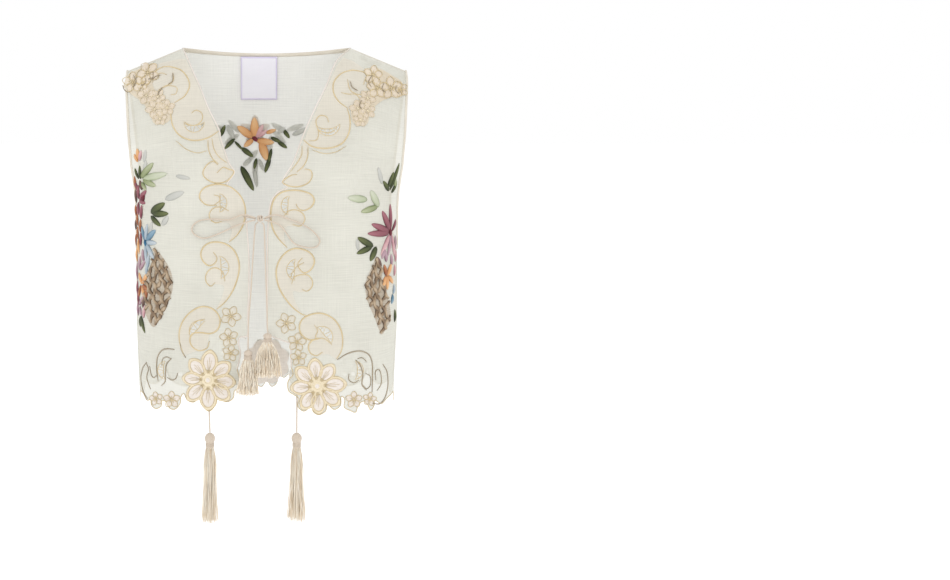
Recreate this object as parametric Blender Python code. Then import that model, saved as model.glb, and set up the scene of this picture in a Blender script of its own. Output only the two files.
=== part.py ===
"""Sheer embroidered waistcoat with cutwork scrolls, a tied cord at the bust and four tassels.

Metres, +Z up, front towards -Y. The origin is in the middle of the neck, on the line of the shoulder seams.
The cloth is drawn as a flat pattern (across, down), cut out there and laid on a rounded body form.
"""

import math

import bmesh
import bpy
import numpy as np
from mathutils import Vector
from mathutils.geometry import delaunay_2d_cdt

# How the photograph sees the waistcoat: pixel size on the shoulder plane, eye distance and eye height
PIXEL = 0.00137
EYE_DISTANCE = 1.7
EYE_HEIGHT = -0.06
MIDDLE_PX = {"front": 266.7, "back": 706.0}
EYE_PY = {"front": 92.3, "back": 98.8}
FACING = {"front": -1, "back": 1}

# Cloth sizes
WALL = 0.0012
SEAM_GAP = 0.0003
BINDING_WIDTH = 0.005
BINDING_WALL = 0.002
CORD_RADIUS = 0.001
LABEL_STAND_OFF = 0.0014

# Body form
ROUNDNESS = 2.9
NOMINAL_HALF_WIDTH = 0.18
NOMINAL_DEPTH = 0.105
NECK_HALF_WIDTH = 0.1146
SHOULDER_HALF_WIDTH = 0.192
SHOULDER_DROP = 0.032
BACK_NECK_DEPTH = 0.055
BACK_NECK_DIP = 0.005
HEM_AT_SIDE = 0.456
UNDERARM = 0.2776

# Rows down the body: level below the shoulder line, half width, depth to the front, depth to the back
FORM = [
    (0.000, 0.2000, 0.000, 0.000),
    (0.003, 0.2000, 0.012, 0.011),
    (0.010, 0.2000, 0.026, 0.023),
    (0.022, 0.1995, 0.040, 0.035),
    (0.040, 0.1985, 0.054, 0.046),
    (0.065, 0.1975, 0.068, 0.057),
    (0.100, 0.1960, 0.083, 0.070),
    (0.150, 0.1905, 0.098, 0.084),
    (0.200, 0.1812, 0.106, 0.092),
    (0.250, 0.1762, 0.110, 0.097),
    (0.300, 0.1763, 0.110, 0.099),
    (0.370, 0.1757, 0.108, 0.099),
    (0.440, 0.1725, 0.106, 0.098),
    (0.520, 0.1690, 0.104, 0.098),
]

# Armhole edge: level, distance of the edge from the side line, measured across the cloth
ARMHOLE = [
    (0.000, 0.0510),
    (0.030, 0.0525),
    (0.065, 0.0550),
    (0.100, 0.0570),
    (0.140, 0.0560),
    (0.180, 0.0530),
    (0.215, 0.0470),
    (0.243, 0.0360),
    (0.259, 0.0240),
    (0.268, 0.0130),
    (0.272, 0.0000),
]

# Soft folds: view, across, half width of the fold, depth, top level, bottom level
FOLDS = [
    ("front", -0.150, 0.014, -0.0022, 0.26, 0.50),
    ("front", 0.135, 0.016, -0.0025, 0.24, 0.50),
    ("front", -0.095, 0.012, 0.0014, 0.30, 0.47),
    ("front", 0.100, 0.012, 0.0016, 0.30, 0.47),
    ("back", -0.020, 0.018, -0.0030, 0.16, 0.50),
    ("back", 0.085, 0.016, -0.0028, 0.20, 0.50),
    ("back", -0.115, 0.016, -0.0028, 0.20, 0.50),
    ("back", 0.160, 0.014, 0.0020, 0.22, 0.46),
    ("back", -0.175, 0.014, 0.0020, 0.22, 0.46),
]

# Front edges in the photograph, from the neck point down the V, the front edge and along the hem to the side
FRONT_EDGE = {
    "front_left": [
        (188.6, 61.0), (194.0, 74.0), (200.0, 87.0), (208.6, 108.6), (218.6, 128.6), (221.0, 140.0),
        (225.0, 152.0), (229.0, 163.0), (234.5, 171.6), (231.5, 178.0), (227.0, 185.0), (234.3, 190.0),
        (240.0, 196.0), (243.4, 203.0), (245.4, 210.0), (246.0, 217.0), (247.5, 235.0), (249.0, 260.0),
        (248.8, 290.0), (247.8, 315.0), (247.5, 335.0), (240.5, 337.0), (238.5, 344.0), (240.5, 352.0),
        (239.0, 362.0), (237.0, 369.0), (239.5, 378.0), (240.0, 387.0), (234.5, 391.0), (233.5, 397.5),
        (228.0, 401.5), (221.5, 400.0), (217.5, 396.5), (216.0, 404.0), (209.5, 411.0), (203.5, 406.5),
        (199.8, 397.5), (194.0, 402.0), (187.5, 400.0), (184.0, 393.5), (181.0, 397.0), (180.5, 403.0),
        (175.5, 409.0), (170.0, 408.0), (167.0, 402.0), (162.5, 400.5), (161.5, 406.0), (156.5, 408.5),
        (152.0, 405.0), (151.0, 399.5), (147.5, 400.0), (143.8, 393.0),
    ],
    "front_right": [
        (339.5, 58.0), (333.6, 67.0), (326.4, 85.7), (316.4, 105.7), (307.9, 124.3), (302.0, 138.6),
        (298.0, 150.0), (292.5, 164.0), (283.0, 181.0), (287.5, 187.5), (279.3, 191.4), (273.0, 198.0),
        (270.0, 206.0), (269.0, 216.0), (267.6, 235.0), (267.5, 265.0), (267.5, 300.0), (267.5, 331.0),
        (274.0, 337.0), (283.0, 340.5), (290.5, 344.0), (291.0, 355.0), (291.5, 368.0), (293.0, 374.5),
        (288.0, 381.0), (288.5, 390.5), (294.5, 395.0), (298.5, 398.0), (298.0, 406.5), (304.0, 411.0),
        (311.0, 406.5), (313.5, 412.0), (319.0, 414.5), (325.5, 411.0), (327.5, 404.5), (334.0, 409.5),
        (340.5, 405.0), (341.0, 396.5), (344.5, 399.0), (344.0, 407.0), (350.0, 410.5), (355.5, 412.0),
        (358.0, 405.0), (363.0, 401.0), (367.0, 404.0), (370.5, 410.0), (374.0, 405.0), (374.5, 400.0),
        (381.0, 403.5), (386.5, 398.0),
    ],
}

# Half of the back hem in the photograph, from the middle towards its left side
BACK_HEM = [
    (706.0, 421.5), (700.5, 429.5), (695.0, 426.0), (692.5, 417.5), (686.5, 419.5), (680.5, 415.5),
    (679.5, 423.5), (672.5, 427.0), (667.0, 421.5), (661.5, 420.0), (658.0, 426.5), (650.0, 429.0),
    (643.0, 425.0), (641.0, 416.0), (637.0, 413.5), (629.5, 420.5), (619.0, 423.5), (609.0, 420.0),
    (602.5, 413.0), (598.0, 401.0), (596.0, 399.5), (594.0, 407.5), (589.0, 411.0), (584.0, 407.5),
    (580.5, 398.0),
]

# Cutwork crescents: panel, circle centre in the photograph, radius, first angle, last angle, widest
CRESCENTS = [
    ("front_left", 194.0, 117.5, 11.5, 25, 150, 7.0),
    ("front_left", 210.5, 203.0, 13.0, -45, 45, 7.0),
    ("front_left", 209.0, 268.0, 16.0, -48, 42, 8.0),
    ("front_left", 207.0, 337.0, 16.0, 180, 262, 8.0),
    ("front_left", 172.0, 370.0, 11.0, 125, 235, 6.0),
    ("front_right", 328.0, 120.0, 12.5, 20, 150, 7.0),
    ("front_right", 297.0, 206.0, 12.5, 135, 232, 7.0),
    ("front_right", 305.0, 270.0, 14.5, 135, 228, 8.0),
    ("front_right", 315.0, 343.0, 16.0, -82, 0, 8.0),
    ("front_right", 349.0, 370.0, 11.0, -58, 58, 6.0),
]

# Cutwork eyelets of half of the back hem: centre in the photograph, half width, half height, tilt
EYELETS = [
    (668.0, 381.0, 5.5, 3.0, -35),
    (657.5, 390.0, 2.8, 4.6, 10),
    (646.5, 407.5, 2.6, 2.4, 0),
    (661.0, 412.0, 2.4, 2.8, 0),
    (611.0, 409.5, 2.6, 3.0, -20),
    (620.5, 411.0, 4.0, 2.3, -15),
]

# Padded places raised in the outer face: panel, centre in the photograph, half width, half height, height
RAISED = [
    ("front_left", 141.0, 84.0, 7.5, 8.0, 0.0012),
    ("front_left", 156.0, 92.0, 7.0, 8.0, 0.0010),
    ("front_left", 164.0, 114.0, 8.0, 8.0, 0.0010),
    ("front_left", 153.0, 176.0, 7.0, 9.0, 0.0012),
    ("front_left", 162.0, 214.0, 7.0, 10.0, 0.0012),
    ("front_left", 149.0, 240.0, 5.0, 12.0, 0.0014),
    ("front_left", 159.0, 286.0, 10.0, 34.0, 0.0016),
    ("front_right", 368.0, 80.0, 7.5, 6.5, 0.0012),
    ("front_right", 388.0, 88.0, 8.0, 7.0, 0.0012),
    ("front_right", 364.0, 104.0, 8.0, 8.0, 0.0010),
    ("front_right", 366.0, 197.0, 8.0, 6.0, 0.0012),
    ("front_right", 367.0, 247.0, 8.0, 8.0, 0.0012),
    ("front_right", 380.0, 229.0, 7.0, 10.0, 0.0014),
    ("front_right", 375.0, 298.0, 9.0, 31.0, 0.0016),
    ("back", 718.0, 140.0, 9.0, 9.0, 0.0016),
]

# Large hem flowers: panel, centre in the photograph, radius to the petal tips, turn of the first petal
HEM_FLOWERS = [
    ("front_left", 207.9, 378.6, 29.0, 90),
    ("front_right", 317.0, 385.7, 28.0, 98),
    ("back", 706.3, 402.0, 25.5, 70),
]
# Scallop of the last scroll by the side seam: distance from the side line, level
SIDE_SCALLOP = [(0.039, 0.460), (0.035, 0.4685), (0.028, 0.4745), (0.019, 0.4745), (0.010, 0.468), (0.005, 0.459)]
PETALS = 8
PETAL_HEIGHT = 0.0012

# Label inside the back neck, in the photograph of the front
LABEL_PX = {"left": 240.7, "right": 277.3, "top": 56.8, "bottom": 99.5}

# Knot of the bow: centre in the photograph, half sizes across, in depth and in height
KNOT_PX = (260.0, 218.7)
KNOT_HALF = (0.0056, 0.0036, 0.0046)

# Where the ties end behind the knot, off its middle, across and in depth
TIE_END = (0.00525, 0.0026)

# Cords in the photograph of the front, away from the knot
TIES = {
    "tie_left": (243.5, 216.4),
    "tie_right": (271.5, 216.6),
}
LOOPS = {
    "bow_loop_left": [
        (243.0, 214.8), (228.6, 219.6), (212.0, 219.0), (200.0, 220.6), (193.0, 225.5), (192.2, 231.5),
        (197.5, 236.4), (206.0, 238.0), (220.0, 233.2), (235.0, 226.2), (246.0, 222.4),
    ],
    "bow_loop_right": [
        (276.0, 214.8), (289.0, 219.0), (301.0, 223.6), (312.0, 230.5), (319.6, 239.5), (316.6, 246.6),
        (306.0, 247.4), (294.5, 243.6), (287.6, 235.0), (282.0, 227.0), (275.0, 222.8),
    ],
}
FREE_ENDS = {
    "bow_end_left": [(255.2, 226.5), (253.6, 248.0), (251.9, 273.6), (250.6, 295.0), (248.6, 320.0), (248.0, 349.4)],
    "bow_end_right": [(264.0, 226.5), (264.9, 245.0), (265.6, 269.0), (266.6, 298.0), (267.6, 332.4)],
}
HEM_CORDS = {
    "hem_cord_left": {"top": (208.4, 384.0), "end": (209.9, 432.0)},
    "hem_cord_right": {"top": (297.0, 384.0), "end": (296.7, 432.0)},
}

# Tassels: top in the photograph, length of head and neck, head radius, neck radius, whole length, skirt radii, strands
TASSELS = {
    "tassel_bow_left": (248.4, 350.2, 0.010, 0.0052, 0.0048, 0.058, 0.0075, 0.0105, 30),
    "tassel_bow_right": (267.8, 333.2, 0.010, 0.0052, 0.0048, 0.057, 0.0080, 0.0105, 30),
    "tassel_hem_left": (209.9, 432.8, 0.018, 0.0064, 0.0050, 0.117, 0.0080, 0.0100, 34),
    "tassel_hem_right": (296.7, 432.8, 0.018, 0.0064, 0.0050, 0.115, 0.0080, 0.0110, 34),
}
STRAND_RADIUS = 0.00036

# Colours: red, green, blue, roughness
CLOTH = (0.86, 0.84, 0.76, 0.8)
EDGING = (0.80, 0.72, 0.58, 0.7)
CORD = (0.86, 0.79, 0.68, 0.7)
LABEL = (0.90, 0.89, 0.93, 0.8)

FORM_TABLE = np.array(FORM)
ARMHOLE_TABLE = np.array(ARMHOLE)


def smooth(t):
    """0 below 0, 1 above 1 and a soft rise between."""
    t = min(1.0, max(0.0, t))
    return t * t * (3 - 2 * t)


def ring_table():
    """Half of the body's section as rows of distance round it, across and depth."""
    turn = np.linspace(0, math.pi / 2, 600)
    across = np.sin(turn) ** (2 / ROUNDNESS)
    depth = np.cos(turn) ** (2 / ROUNDNESS)
    steps = np.hypot(np.diff(across) * NOMINAL_HALF_WIDTH, np.diff(depth) * NOMINAL_DEPTH)
    return np.concatenate([[0], np.cumsum(steps)]), across, depth


ROUND, ACROSS, DEPTH = ring_table()
SIDE = float(ROUND[-1])


def form_at(level, view):
    """Half width and depth of the body at a level."""
    half = float(np.interp(level, FORM_TABLE[:, 0], FORM_TABLE[:, 1]))
    depth = float(np.interp(level, FORM_TABLE[:, 0], FORM_TABLE[:, 2 if view == "front" else 3]))
    return half, depth


def shoulder_height(x, level):
    """How far the slope of the shoulder lowers the cloth."""
    run = (abs(x) - NECK_HALF_WIDTH) / (SHOULDER_HALF_WIDTH - NECK_HALF_WIDTH)
    return -SHOULDER_DROP * max(0.0, run) * (1 - smooth(level / 0.22))


def fold_at(across, level, view):
    """Outward move of the soft folds."""
    move = 0.0
    for name, middle, half, depth, top, bottom in FOLDS:
        if name == view:
            reach = math.exp(-(((across - middle) / half) ** 2))
            move += depth * reach * smooth((level - top) / 0.12) * smooth((bottom + 0.02 - level) / 0.02)
    return move


def place(across, level, view, gap=SEAM_GAP / 2):
    """A point of the cloth's inner face from its place on the pattern."""
    half, depth = form_at(level, view)
    side = 1 if across >= 0 else -1
    x = side * half * float(np.interp(abs(across), ROUND, ACROSS))
    out = depth * float(np.interp(abs(across), ROUND, DEPTH))
    if view == "back":
        nape = BACK_NECK_DEPTH * max(0.0, 1 - (x / NECK_HALF_WIDTH) ** 2) ** 1.2
        out = (out**4 + nape**4) ** 0.25
    out += fold_at(across, level, view)
    return Vector((x, FACING[view] * (gap + out), shoulder_height(x, level) - level))


def outward(across, level, view):
    """Direction out of the cloth at a place on the pattern."""
    step = 0.002
    level = max(level, 0.0005)
    along = place(across + step, level, view) - place(across - step, level, view)
    if abs(across) > SIDE - step:
        side = math.copysign(1, across)
        return Vector((side, 0, 0))
    down = place(across, level + step, view) - place(across, max(0.0, level - step), view)
    normal = along.cross(down).normalized()
    if normal.y * FACING[view] < 0:
        normal = -normal
    return normal


def seam_normal(across, level, view):
    """The outward direction, kept flat on the seams so that both sides of a seam meet squarely."""
    normal = outward(across, level, view)
    if abs(across) > SIDE - 1e-6:
        return Vector((math.copysign(1, across), 0, 0))
    if level < 1e-6:
        return Vector((normal.x, 0, max(normal.z, 0.2))).normalized()
    return normal


def pattern_from_xz(x, z, view):
    """Pattern place of the cloth at x and z."""
    level = -z
    for _ in range(12):
        level = max(0.0, shoulder_height(x, level) - z)
    half, _ = form_at(level, view)
    share = min(1.0, abs(x) / half)
    return math.copysign(float(np.interp(share, ACROSS, ROUND)), x), level


def from_photo(px, py, depth, view):
    """X and Z of a photograph point at a depth behind the shoulder plane as seen."""
    scale = PIXEL * (EYE_DISTANCE + depth) / EYE_DISTANCE
    return -FACING[view] * (px - MIDDLE_PX[view]) * scale, EYE_HEIGHT - (py - EYE_PY[view]) * scale


def on_pattern(px, py, view):
    """Pattern place of a photograph point on the near cloth."""
    depth = -0.1
    for _ in range(14):
        x, z = from_photo(px, py, depth, view)
        across, level = pattern_from_xz(x, z, view)
        depth = -abs(place(across, level, view).y)
    return across, level


def material(name, colour):
    """A Principled material."""
    made = bpy.data.materials.new(name)
    made.use_nodes = True
    shader = made.node_tree.nodes["Principled BSDF"]
    shader.inputs["Base Color"].default_value = (*colour[:3], 1)
    shader.inputs["Roughness"].default_value = colour[3]
    return made


def add_mesh(name, points, faces, colour):
    """A named object with its own material."""
    mesh = bpy.data.meshes.new(name)
    mesh.from_pydata([tuple(p) for p in points], [], faces)
    body = bmesh.new()
    body.from_mesh(mesh)
    bmesh.ops.recalc_face_normals(body, faces=body.faces)
    if body.calc_volume(signed=True) < 0:
        bmesh.ops.reverse_faces(body, faces=body.faces)
    body.to_mesh(mesh)
    body.free()
    made = bpy.data.objects.new(name, mesh)
    made.data.materials.append(material(name, colour))
    bpy.context.collection.objects.link(made)
    return made


def inside(points, polygon):
    """Which points lie in a polygon."""
    x, y = points[:, 0], points[:, 1]
    found = np.zeros(len(points), bool)
    for (x0, y0), (x1, y1) in zip(polygon, np.roll(polygon, -1, axis=0)):
        crosses = (y0 > y) != (y1 > y)
        if y1 != y0:
            found ^= crosses & (x < (x1 - x0) * (y - y0) / (y1 - y0) + x0)
    return found


def distance(points, polygon):
    """Distance of each point from a polygon's edges."""
    best = np.full(len(points), np.inf)
    for a, b in zip(polygon, np.roll(polygon, -1, axis=0)):
        run = b - a
        t = np.clip((points - a) @ run / max(run @ run, 1e-12), 0, 1)
        best = np.minimum(best, np.linalg.norm(points - a - t[:, None] * run, axis=1))
    return best


def thinned(points, least):
    """A loop without points that are nearer than least to the one before."""
    kept = [points[0]]
    for point in points[1:]:
        if math.dist(point, kept[-1]) > least:
            kept.append(point)
    if math.dist(kept[0], kept[-1]) <= least:
        kept.pop()
    return np.array(kept)


def filled(points, most):
    """A run of points with more put in where two are far apart."""
    made = []
    for a, b in zip(points[:-1], points[1:]):
        count = max(1, math.ceil(math.dist(a, b) / most))
        for i in range(count):
            made.append(tuple(np.add(a, np.subtract(b, a) * i / count)))
    made.append(tuple(points[-1]))
    return made


def crescent(px, py, radius, first, last, widest):
    """A crescent in photograph points."""
    count = 6
    outer, inner = [], []
    for i in range(count + 1):
        share = i / count
        turn = math.radians(first + (last - first) * share)
        half = widest / 2 * math.sin(math.pi * share)
        outer.append((px + (radius + half) * math.cos(turn), py + (radius + half) * math.sin(turn)))
        inner.append((px + (radius - half) * math.cos(turn), py + (radius - half) * math.sin(turn)))
    return outer + inner[-2:0:-1]


def eyelet(px, py, wide, high, tilt):
    """A pointed oval in photograph points."""
    turned = math.radians(tilt)
    made = []
    for i in range(8):
        turn = 2 * math.pi * i / 8
        x, y = wide * math.cos(turn), high * math.sin(turn)
        made.append((px + x * math.cos(turned) - y * math.sin(turned), py + x * math.sin(turned) + y * math.cos(turned)))
    return made


def armhole_edge(inset):
    """The armhole edge on the pattern of one half, from the underarm to the shoulder, moved in from the edge."""
    rows = ARMHOLE_TABLE
    levels = sorted([*rows[:, 0], *((rows[1:, 0] + rows[:-1, 0]) / 2)], reverse=True)
    made = []
    for level in levels:
        edge = SIDE - float(np.interp(level, rows[:, 0], rows[:, 1]))
        ahead, behind = np.interp([level + 0.006, level - 0.006], rows[:, 0], rows[:, 1])
        run = np.array([behind - ahead, 0.012])
        run = run / np.linalg.norm(run)
        if level == levels[0]:
            made.append((SIDE, level + inset))
        elif level == 0:
            made.append((edge - inset, 0.0))
        else:
            made.append((edge - inset * run[1], level + inset * run[0]))
    return made


def neck_stations():
    """Places across the back neck, and their levels, where its binding and the cloth below it have points."""
    neck = float(np.interp(NECK_HALF_WIDTH / FORM_TABLE[0, 1], ACROSS, ROUND))
    places = np.linspace(-neck + 0.002, neck - 0.002, 25)
    return neck, [(float(across), BACK_NECK_DIP * (1 - (across / neck) ** 2)) for across in places]


def relief_points(panel, view):
    """Extra pattern points and their heights for the padded places of a panel."""
    rows = []
    clear = []
    for name, px, py, wide, high, height in RAISED:
        if name != panel:
            continue
        rings = [(1.0, 8, 0.0), (0.62, 6, height), (0.0, 1, height * 1.15)]
        if high > 2 * wide:
            rings = [(1.0, 12, 0.0), (0.72, 10, height), (0.3, 4, height)]
        for share, count, lift in rings:
            for i in range(count):
                turn = 2 * math.pi * (i + 0.5 * share) / count
                at = (px + wide * share * math.cos(turn), py + high * share * math.sin(turn))
                rows.append((*on_pattern(*at, view), lift))
        clear.append(np.array([on_pattern(*p, view) for p in eyelet(px, py, wide * 1.15, high * 1.1, 0)]))
    for name, px, py, radius, first in HEM_FLOWERS:
        if name != panel:
            continue
        rows.append((*on_pattern(px, py, view), PETAL_HEIGHT * 1.5))
        for k in range(PETALS):
            turn = math.radians(first + 360 * k / PETALS)
            for share, aside, lift in ((0.3, 0, 0.3), (0.58, 0.17, 1), (0.58, -0.17, 1), (0.86, 0.12, 1), (0.86, -0.12, 1), (0.7, 0, 0.4)):
                at = (
                    px + radius * (share * math.cos(turn) - aside * math.sin(turn)),
                    py + radius * (share * math.sin(turn) + aside * math.cos(turn)),
                )
                rows.append((*on_pattern(*at, view), PETAL_HEIGHT * lift))
        clear.append(np.array([on_pattern(*p, view) for p in eyelet(px, py, radius, radius, 0)]))
    return rows, clear


def panel(name, view, outline, holes):
    """One cut piece of cloth as a closed wall with its holes."""
    outline = thinned([tuple(p) for p in outline], 0.0009)
    loops = [outline] + [np.array(h) for h in holes]
    relief, clear = relief_points(name, view)
    low, high = outline.min(axis=0), outline.max(axis=0)
    wide_step, high_step = 0.0165, 0.021
    grid = []
    for row, level in enumerate(np.arange(low[1] + high_step / 2, high[1], high_step)):
        for across in np.arange(low[0] + wide_step * (0.25 + 0.5 * (row % 2)), high[0], wide_step):
            grid.append((across, level))
    grid = np.array(grid)
    keep = inside(grid, outline) & (distance(grid, outline) > 0.0055)
    shoulder = [(across, level) for level in (0.0045, 0.0115) for across in np.arange(-0.2, 0.2, 0.014) + level]
    shoulder = np.array(shoulder)
    near_seam = inside(shoulder, outline) & (distance(shoulder, outline) > 0.0035)
    top_rows = grid[:, 1] < 0.0165
    grid = np.concatenate([grid[~top_rows], shoulder[near_seam]])
    keep = np.concatenate([keep[~top_rows], np.ones(int(near_seam.sum()), bool)])
    for hole in loops[1:]:
        keep &= ~inside(grid, hole) & (distance(grid, hole) > 0.005)
    for place_kept in clear:
        keep &= ~inside(grid, place_kept)
    grid = grid[keep]
    extra = np.array([r[:2] for r in relief]) if relief else np.zeros((0, 2))
    lifts = [r[2] for r in relief]
    if len(extra):
        fits = inside(extra, outline) & (distance(extra, outline) > 0.0012)
        for hole in loops[1:]:
            fits &= ~inside(extra, hole) & (distance(extra, hole) > 0.0012)
        lifts = [lift for lift, fit in zip(lifts, fits) if fit]
        extra = extra[fits]
    points, edges = [], []
    for loop in loops:
        start = len(points)
        points += [tuple(p) for p in loop]
        edges += [(start + i, start + (i + 1) % len(loop)) for i in range(len(loop))]
    fixed = len(points)
    points += [tuple(p) for p in extra] + [tuple(p) for p in grid]
    out = delaunay_2d_cdt([Vector(p) for p in points], edges, [], 0, 1e-7, True)
    flat = np.array([tuple(p) for p in out[0]])
    sources = out[3]
    middles = np.array([flat[list(f)].mean(axis=0) for f in out[2]])
    keep = inside(middles, outline)
    for hole in loops[1:]:
        keep &= ~inside(middles, hole)
    faces = [list(f) for f, kept in zip(out[2], keep) if kept]
    raise_by = np.zeros(len(flat))
    for i, source in enumerate(sources):
        for index in source:
            if fixed <= index < fixed + len(extra):
                raise_by[i] = lifts[index - fixed]
    return wall(name, view, flat, faces, raise_by)


def wall(name, view, flat, faces, raise_by):
    """A closed wall from a flat triangulation laid on the body form."""
    used = sorted({i for f in faces for i in f})
    index = {old: new for new, old in enumerate(used)}
    count = len(used)
    inner, outer = [], []
    for old in used:
        across, level = flat[old]
        inner.append(place(across, level, view))
        outer.append(inner[-1] + seam_normal(across, level, view) * (WALL + raise_by[old]))
    turned = [tuple(index[i] for i in face) for face in faces]
    turned = one_way(turned)
    made = [(a + count, b + count, c + count) for a, b, c in turned]
    made += [(a, c, b) for a, b, c in turned]
    sides = {(f[i], f[(i + 1) % 3]) for f in turned for i in range(3)}
    for a, b in sorted(sides):
        if (b, a) not in sides:
            made += [(a, b, b + count), (a, b + count, a + count)]
    return add_mesh(name, inner + outer, made, CLOTH)


def one_way(faces):
    """The triangles all turned the way of most of them."""
    by_edge = {}
    for number, face in enumerate(faces):
        for i in range(3):
            by_edge.setdefault(frozenset((face[i], face[(i + 1) % 3])), []).append(number)
    flip = {0: False}
    queue = [0]
    while queue:
        number = queue.pop()
        face = faces[number]
        for i in range(3):
            a, b = face[i], face[(i + 1) % 3]
            for other in by_edge[frozenset((a, b))]:
                if other in flip:
                    continue
                near = faces[other]
                same = (a, b) in {(near[k], near[(k + 1) % 3]) for k in range(3)}
                flip[other] = flip[number] != same
                queue.append(other)
    return [(f[0], f[2], f[1]) if flip[n] else f for n, f in enumerate(faces)]


def strip(name, stations, thickness, colour, closed):
    """A band from stations of (near place, far place, out direction), as a closed body."""
    points = []
    for near, far, out in stations:
        points += [near, far, far + out * thickness, near + out * thickness]
    count = len(stations)
    faces = []
    for i in range(count if closed else count - 1):
        a, b = 4 * i, 4 * ((i + 1) % count)
        for k in range(4):
            n = (k + 1) % 4
            faces += [(a + k, b + k, b + n), (a + k, b + n, a + n)]
    if not closed:
        last = 4 * (count - 1)
        faces += [(0, 1, 2), (0, 2, 3), (last, last + 2, last + 1), (last, last + 3, last + 2)]
    return add_mesh(name, points, faces, colour)


def front_panel(name):
    """One front with its V, front edge, hem, side, armhole and shoulder."""
    side = -1 if name == "front_left" else 1
    neck = float(np.interp(NECK_HALF_WIDTH / FORM_TABLE[0, 1], ACROSS, ROUND))
    edge = [(side * neck, 0.0)] + [on_pattern(*p, "front") for p in FRONT_EDGE[name]]
    edge += [(side * (SIDE - back_off), level) for back_off, level in SIDE_SCALLOP]
    seam = filled([(side * SIDE, HEM_AT_SIDE), (side * SIDE, UNDERARM)], 0.021)
    armhole = [(side * across, level) for across, level in armhole_edge(BINDING_WIDTH + SEAM_GAP)][1:]
    shoulder = filled([armhole[-1], (side * neck, 0.0)], 0.012)
    outline = filled(edge, 0.012) + seam + armhole + shoulder[1:-1]
    holes = [[on_pattern(*p, "front") for p in crescent(*row[1:])] for row in CRESCENTS if row[0] == name]
    return panel(name, "front", outline, holes)


def back_panel():
    """The back with its neck, armholes and scalloped hem."""
    hem = [on_pattern(*p, "back") for p in BACK_HEM]
    holes = []
    for row in EYELETS:
        hole = [on_pattern(*p, "back") for p in eyelet(*row)]
        holes.append(hole)
        holes.append([(-across, level) for across, level in hole])
    scallop = [(SIDE - back_off, level) for back_off, level in SIDE_SCALLOP]
    half = filled(hem + scallop, 0.012)[1:]
    half += filled([(SIDE, HEM_AT_SIDE), (SIDE, UNDERARM)], 0.021)
    half += armhole_edge(BINDING_WIDTH + SEAM_GAP)[1:]
    neck, stations = neck_stations()
    below = BINDING_WIDTH + SEAM_GAP
    half += filled([half[-1], (neck + 0.004, 0.0)], 0.012)[1:]
    mirrored = [(-across, level) for across, level in half[::-1]]
    outline = half + [(across, level + below) for across, level in stations[::-1]] + mirrored + [hem[0]]
    return panel("back", "back", outline, holes)


def armhole_binding(name, side):
    """The bias binding round one armhole, a closed ring."""
    far = armhole_edge(0.0)
    near = armhole_edge(BINDING_WIDTH)
    stations = []
    for view in ("front", "back"):
        rows = list(zip(near, far))
        rows = rows if view == "front" else rows[::-1][1:-1]
        for (across_in, level_in), (across_out, level_out) in rows:
            gap = 0.0 if level_out == 0 or across_out == SIDE else SEAM_GAP / 2
            a = place(side * across_in, level_in, view, gap)
            b = place(side * across_out, level_out, view, gap)
            stations.append((a, b, seam_normal(side * across_out, level_out, view)))
    return strip(name, stations, BINDING_WALL, EDGING, True)


def neck_binding():
    """The binding on the back neck."""
    stations = []
    rows = neck_stations()[1]
    ends = [tuple(np.average(pair, axis=0, weights=(0.8, 0.2))) for pair in (rows[:2], rows[:-3:-1])]
    for across, level in [ends[0]] + rows[1:-1] + [ends[1]]:
        near = place(across, level + BINDING_WIDTH - SEAM_GAP, "back")
        far = place(across, level, "back")
        stations.append((near, far, outward(across, level + BINDING_WIDTH + SEAM_GAP, "back")))
    return strip("neck_binding", stations, BINDING_WALL, EDGING, False)


def label():
    """The label inside the back neck, bent with the cloth."""
    rows = []
    count = 4
    for j in range(count + 1):
        for i in range(count + 1):
            px = LABEL_PX["left"] + (LABEL_PX["right"] - LABEL_PX["left"]) * i / count
            py = LABEL_PX["top"] + (LABEL_PX["bottom"] - LABEL_PX["top"]) * j / count
            x, z = from_photo(px, py, 0.065, "front")
            rows.append(pattern_from_xz(x, z, "back"))
    outer = [place(a, l, "back") - outward(a, l, "back") * LABEL_STAND_OFF for a, l in rows]
    inner = [p - outward(a, l, "back") * 0.001 for p, (a, l) in zip(outer, rows)]
    total = len(rows)
    faces = []
    for j in range(count):
        for i in range(count):
            a = j * (count + 1) + i
            b, c, d = a + 1, a + count + 2, a + count + 1
            faces += [(a, b, c), (a, c, d), (a + total, c + total, b + total), (a + total, d + total, c + total)]
    rim = [i for i in range(count)] + [count + (count + 1) * j for j in range(count)]
    rim += [total - 1 - i for i in range(count)] + [(count + 1) * (count - j) for j in range(count)]
    for a, b in zip(rim, rim[1:] + rim[:1]):
        faces += [(a, a + total, b + total), (a, b + total, b)]
    return add_mesh("label", outer + inner, faces, LABEL)


def before_cloth(px, py, out):
    """A point in front of the front cloth, moved out by a distance."""
    across, level = on_pattern(px, py, "front")
    x, z = from_photo(px, py, -abs(place(across, level, "front").y) - out, "front")
    across, level = pattern_from_xz(x, z, "front")
    return place(across, level, "front") + Vector((0, -out, 0))


def rounded(points, count):
    """Evenly spread points of one smooth curve through the given points."""
    fine = []
    padded = [points[0] * 2 - points[1]] + list(points) + [points[-1] * 2 - points[-2]]
    for a, b, c, d in zip(padded, padded[1:], padded[2:], padded[3:]):
        for i in range(12):
            t = i / 12
            fine.append(
                0.5 * ((2 * b) + (c - a) * t + (2 * a - 5 * b + 4 * c - d) * t * t + (3 * b - a - 3 * c + d) * t**3)
            )
    fine.append(points[-1])
    rows = np.array(fine)
    along = np.concatenate([[0], np.cumsum(np.linalg.norm(np.diff(rows, axis=0), axis=1))])
    at = np.linspace(0, along[-1], count)
    return [Vector([float(np.interp(t, along, rows[:, k])) for k in range(3)]) for t in at]


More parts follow.
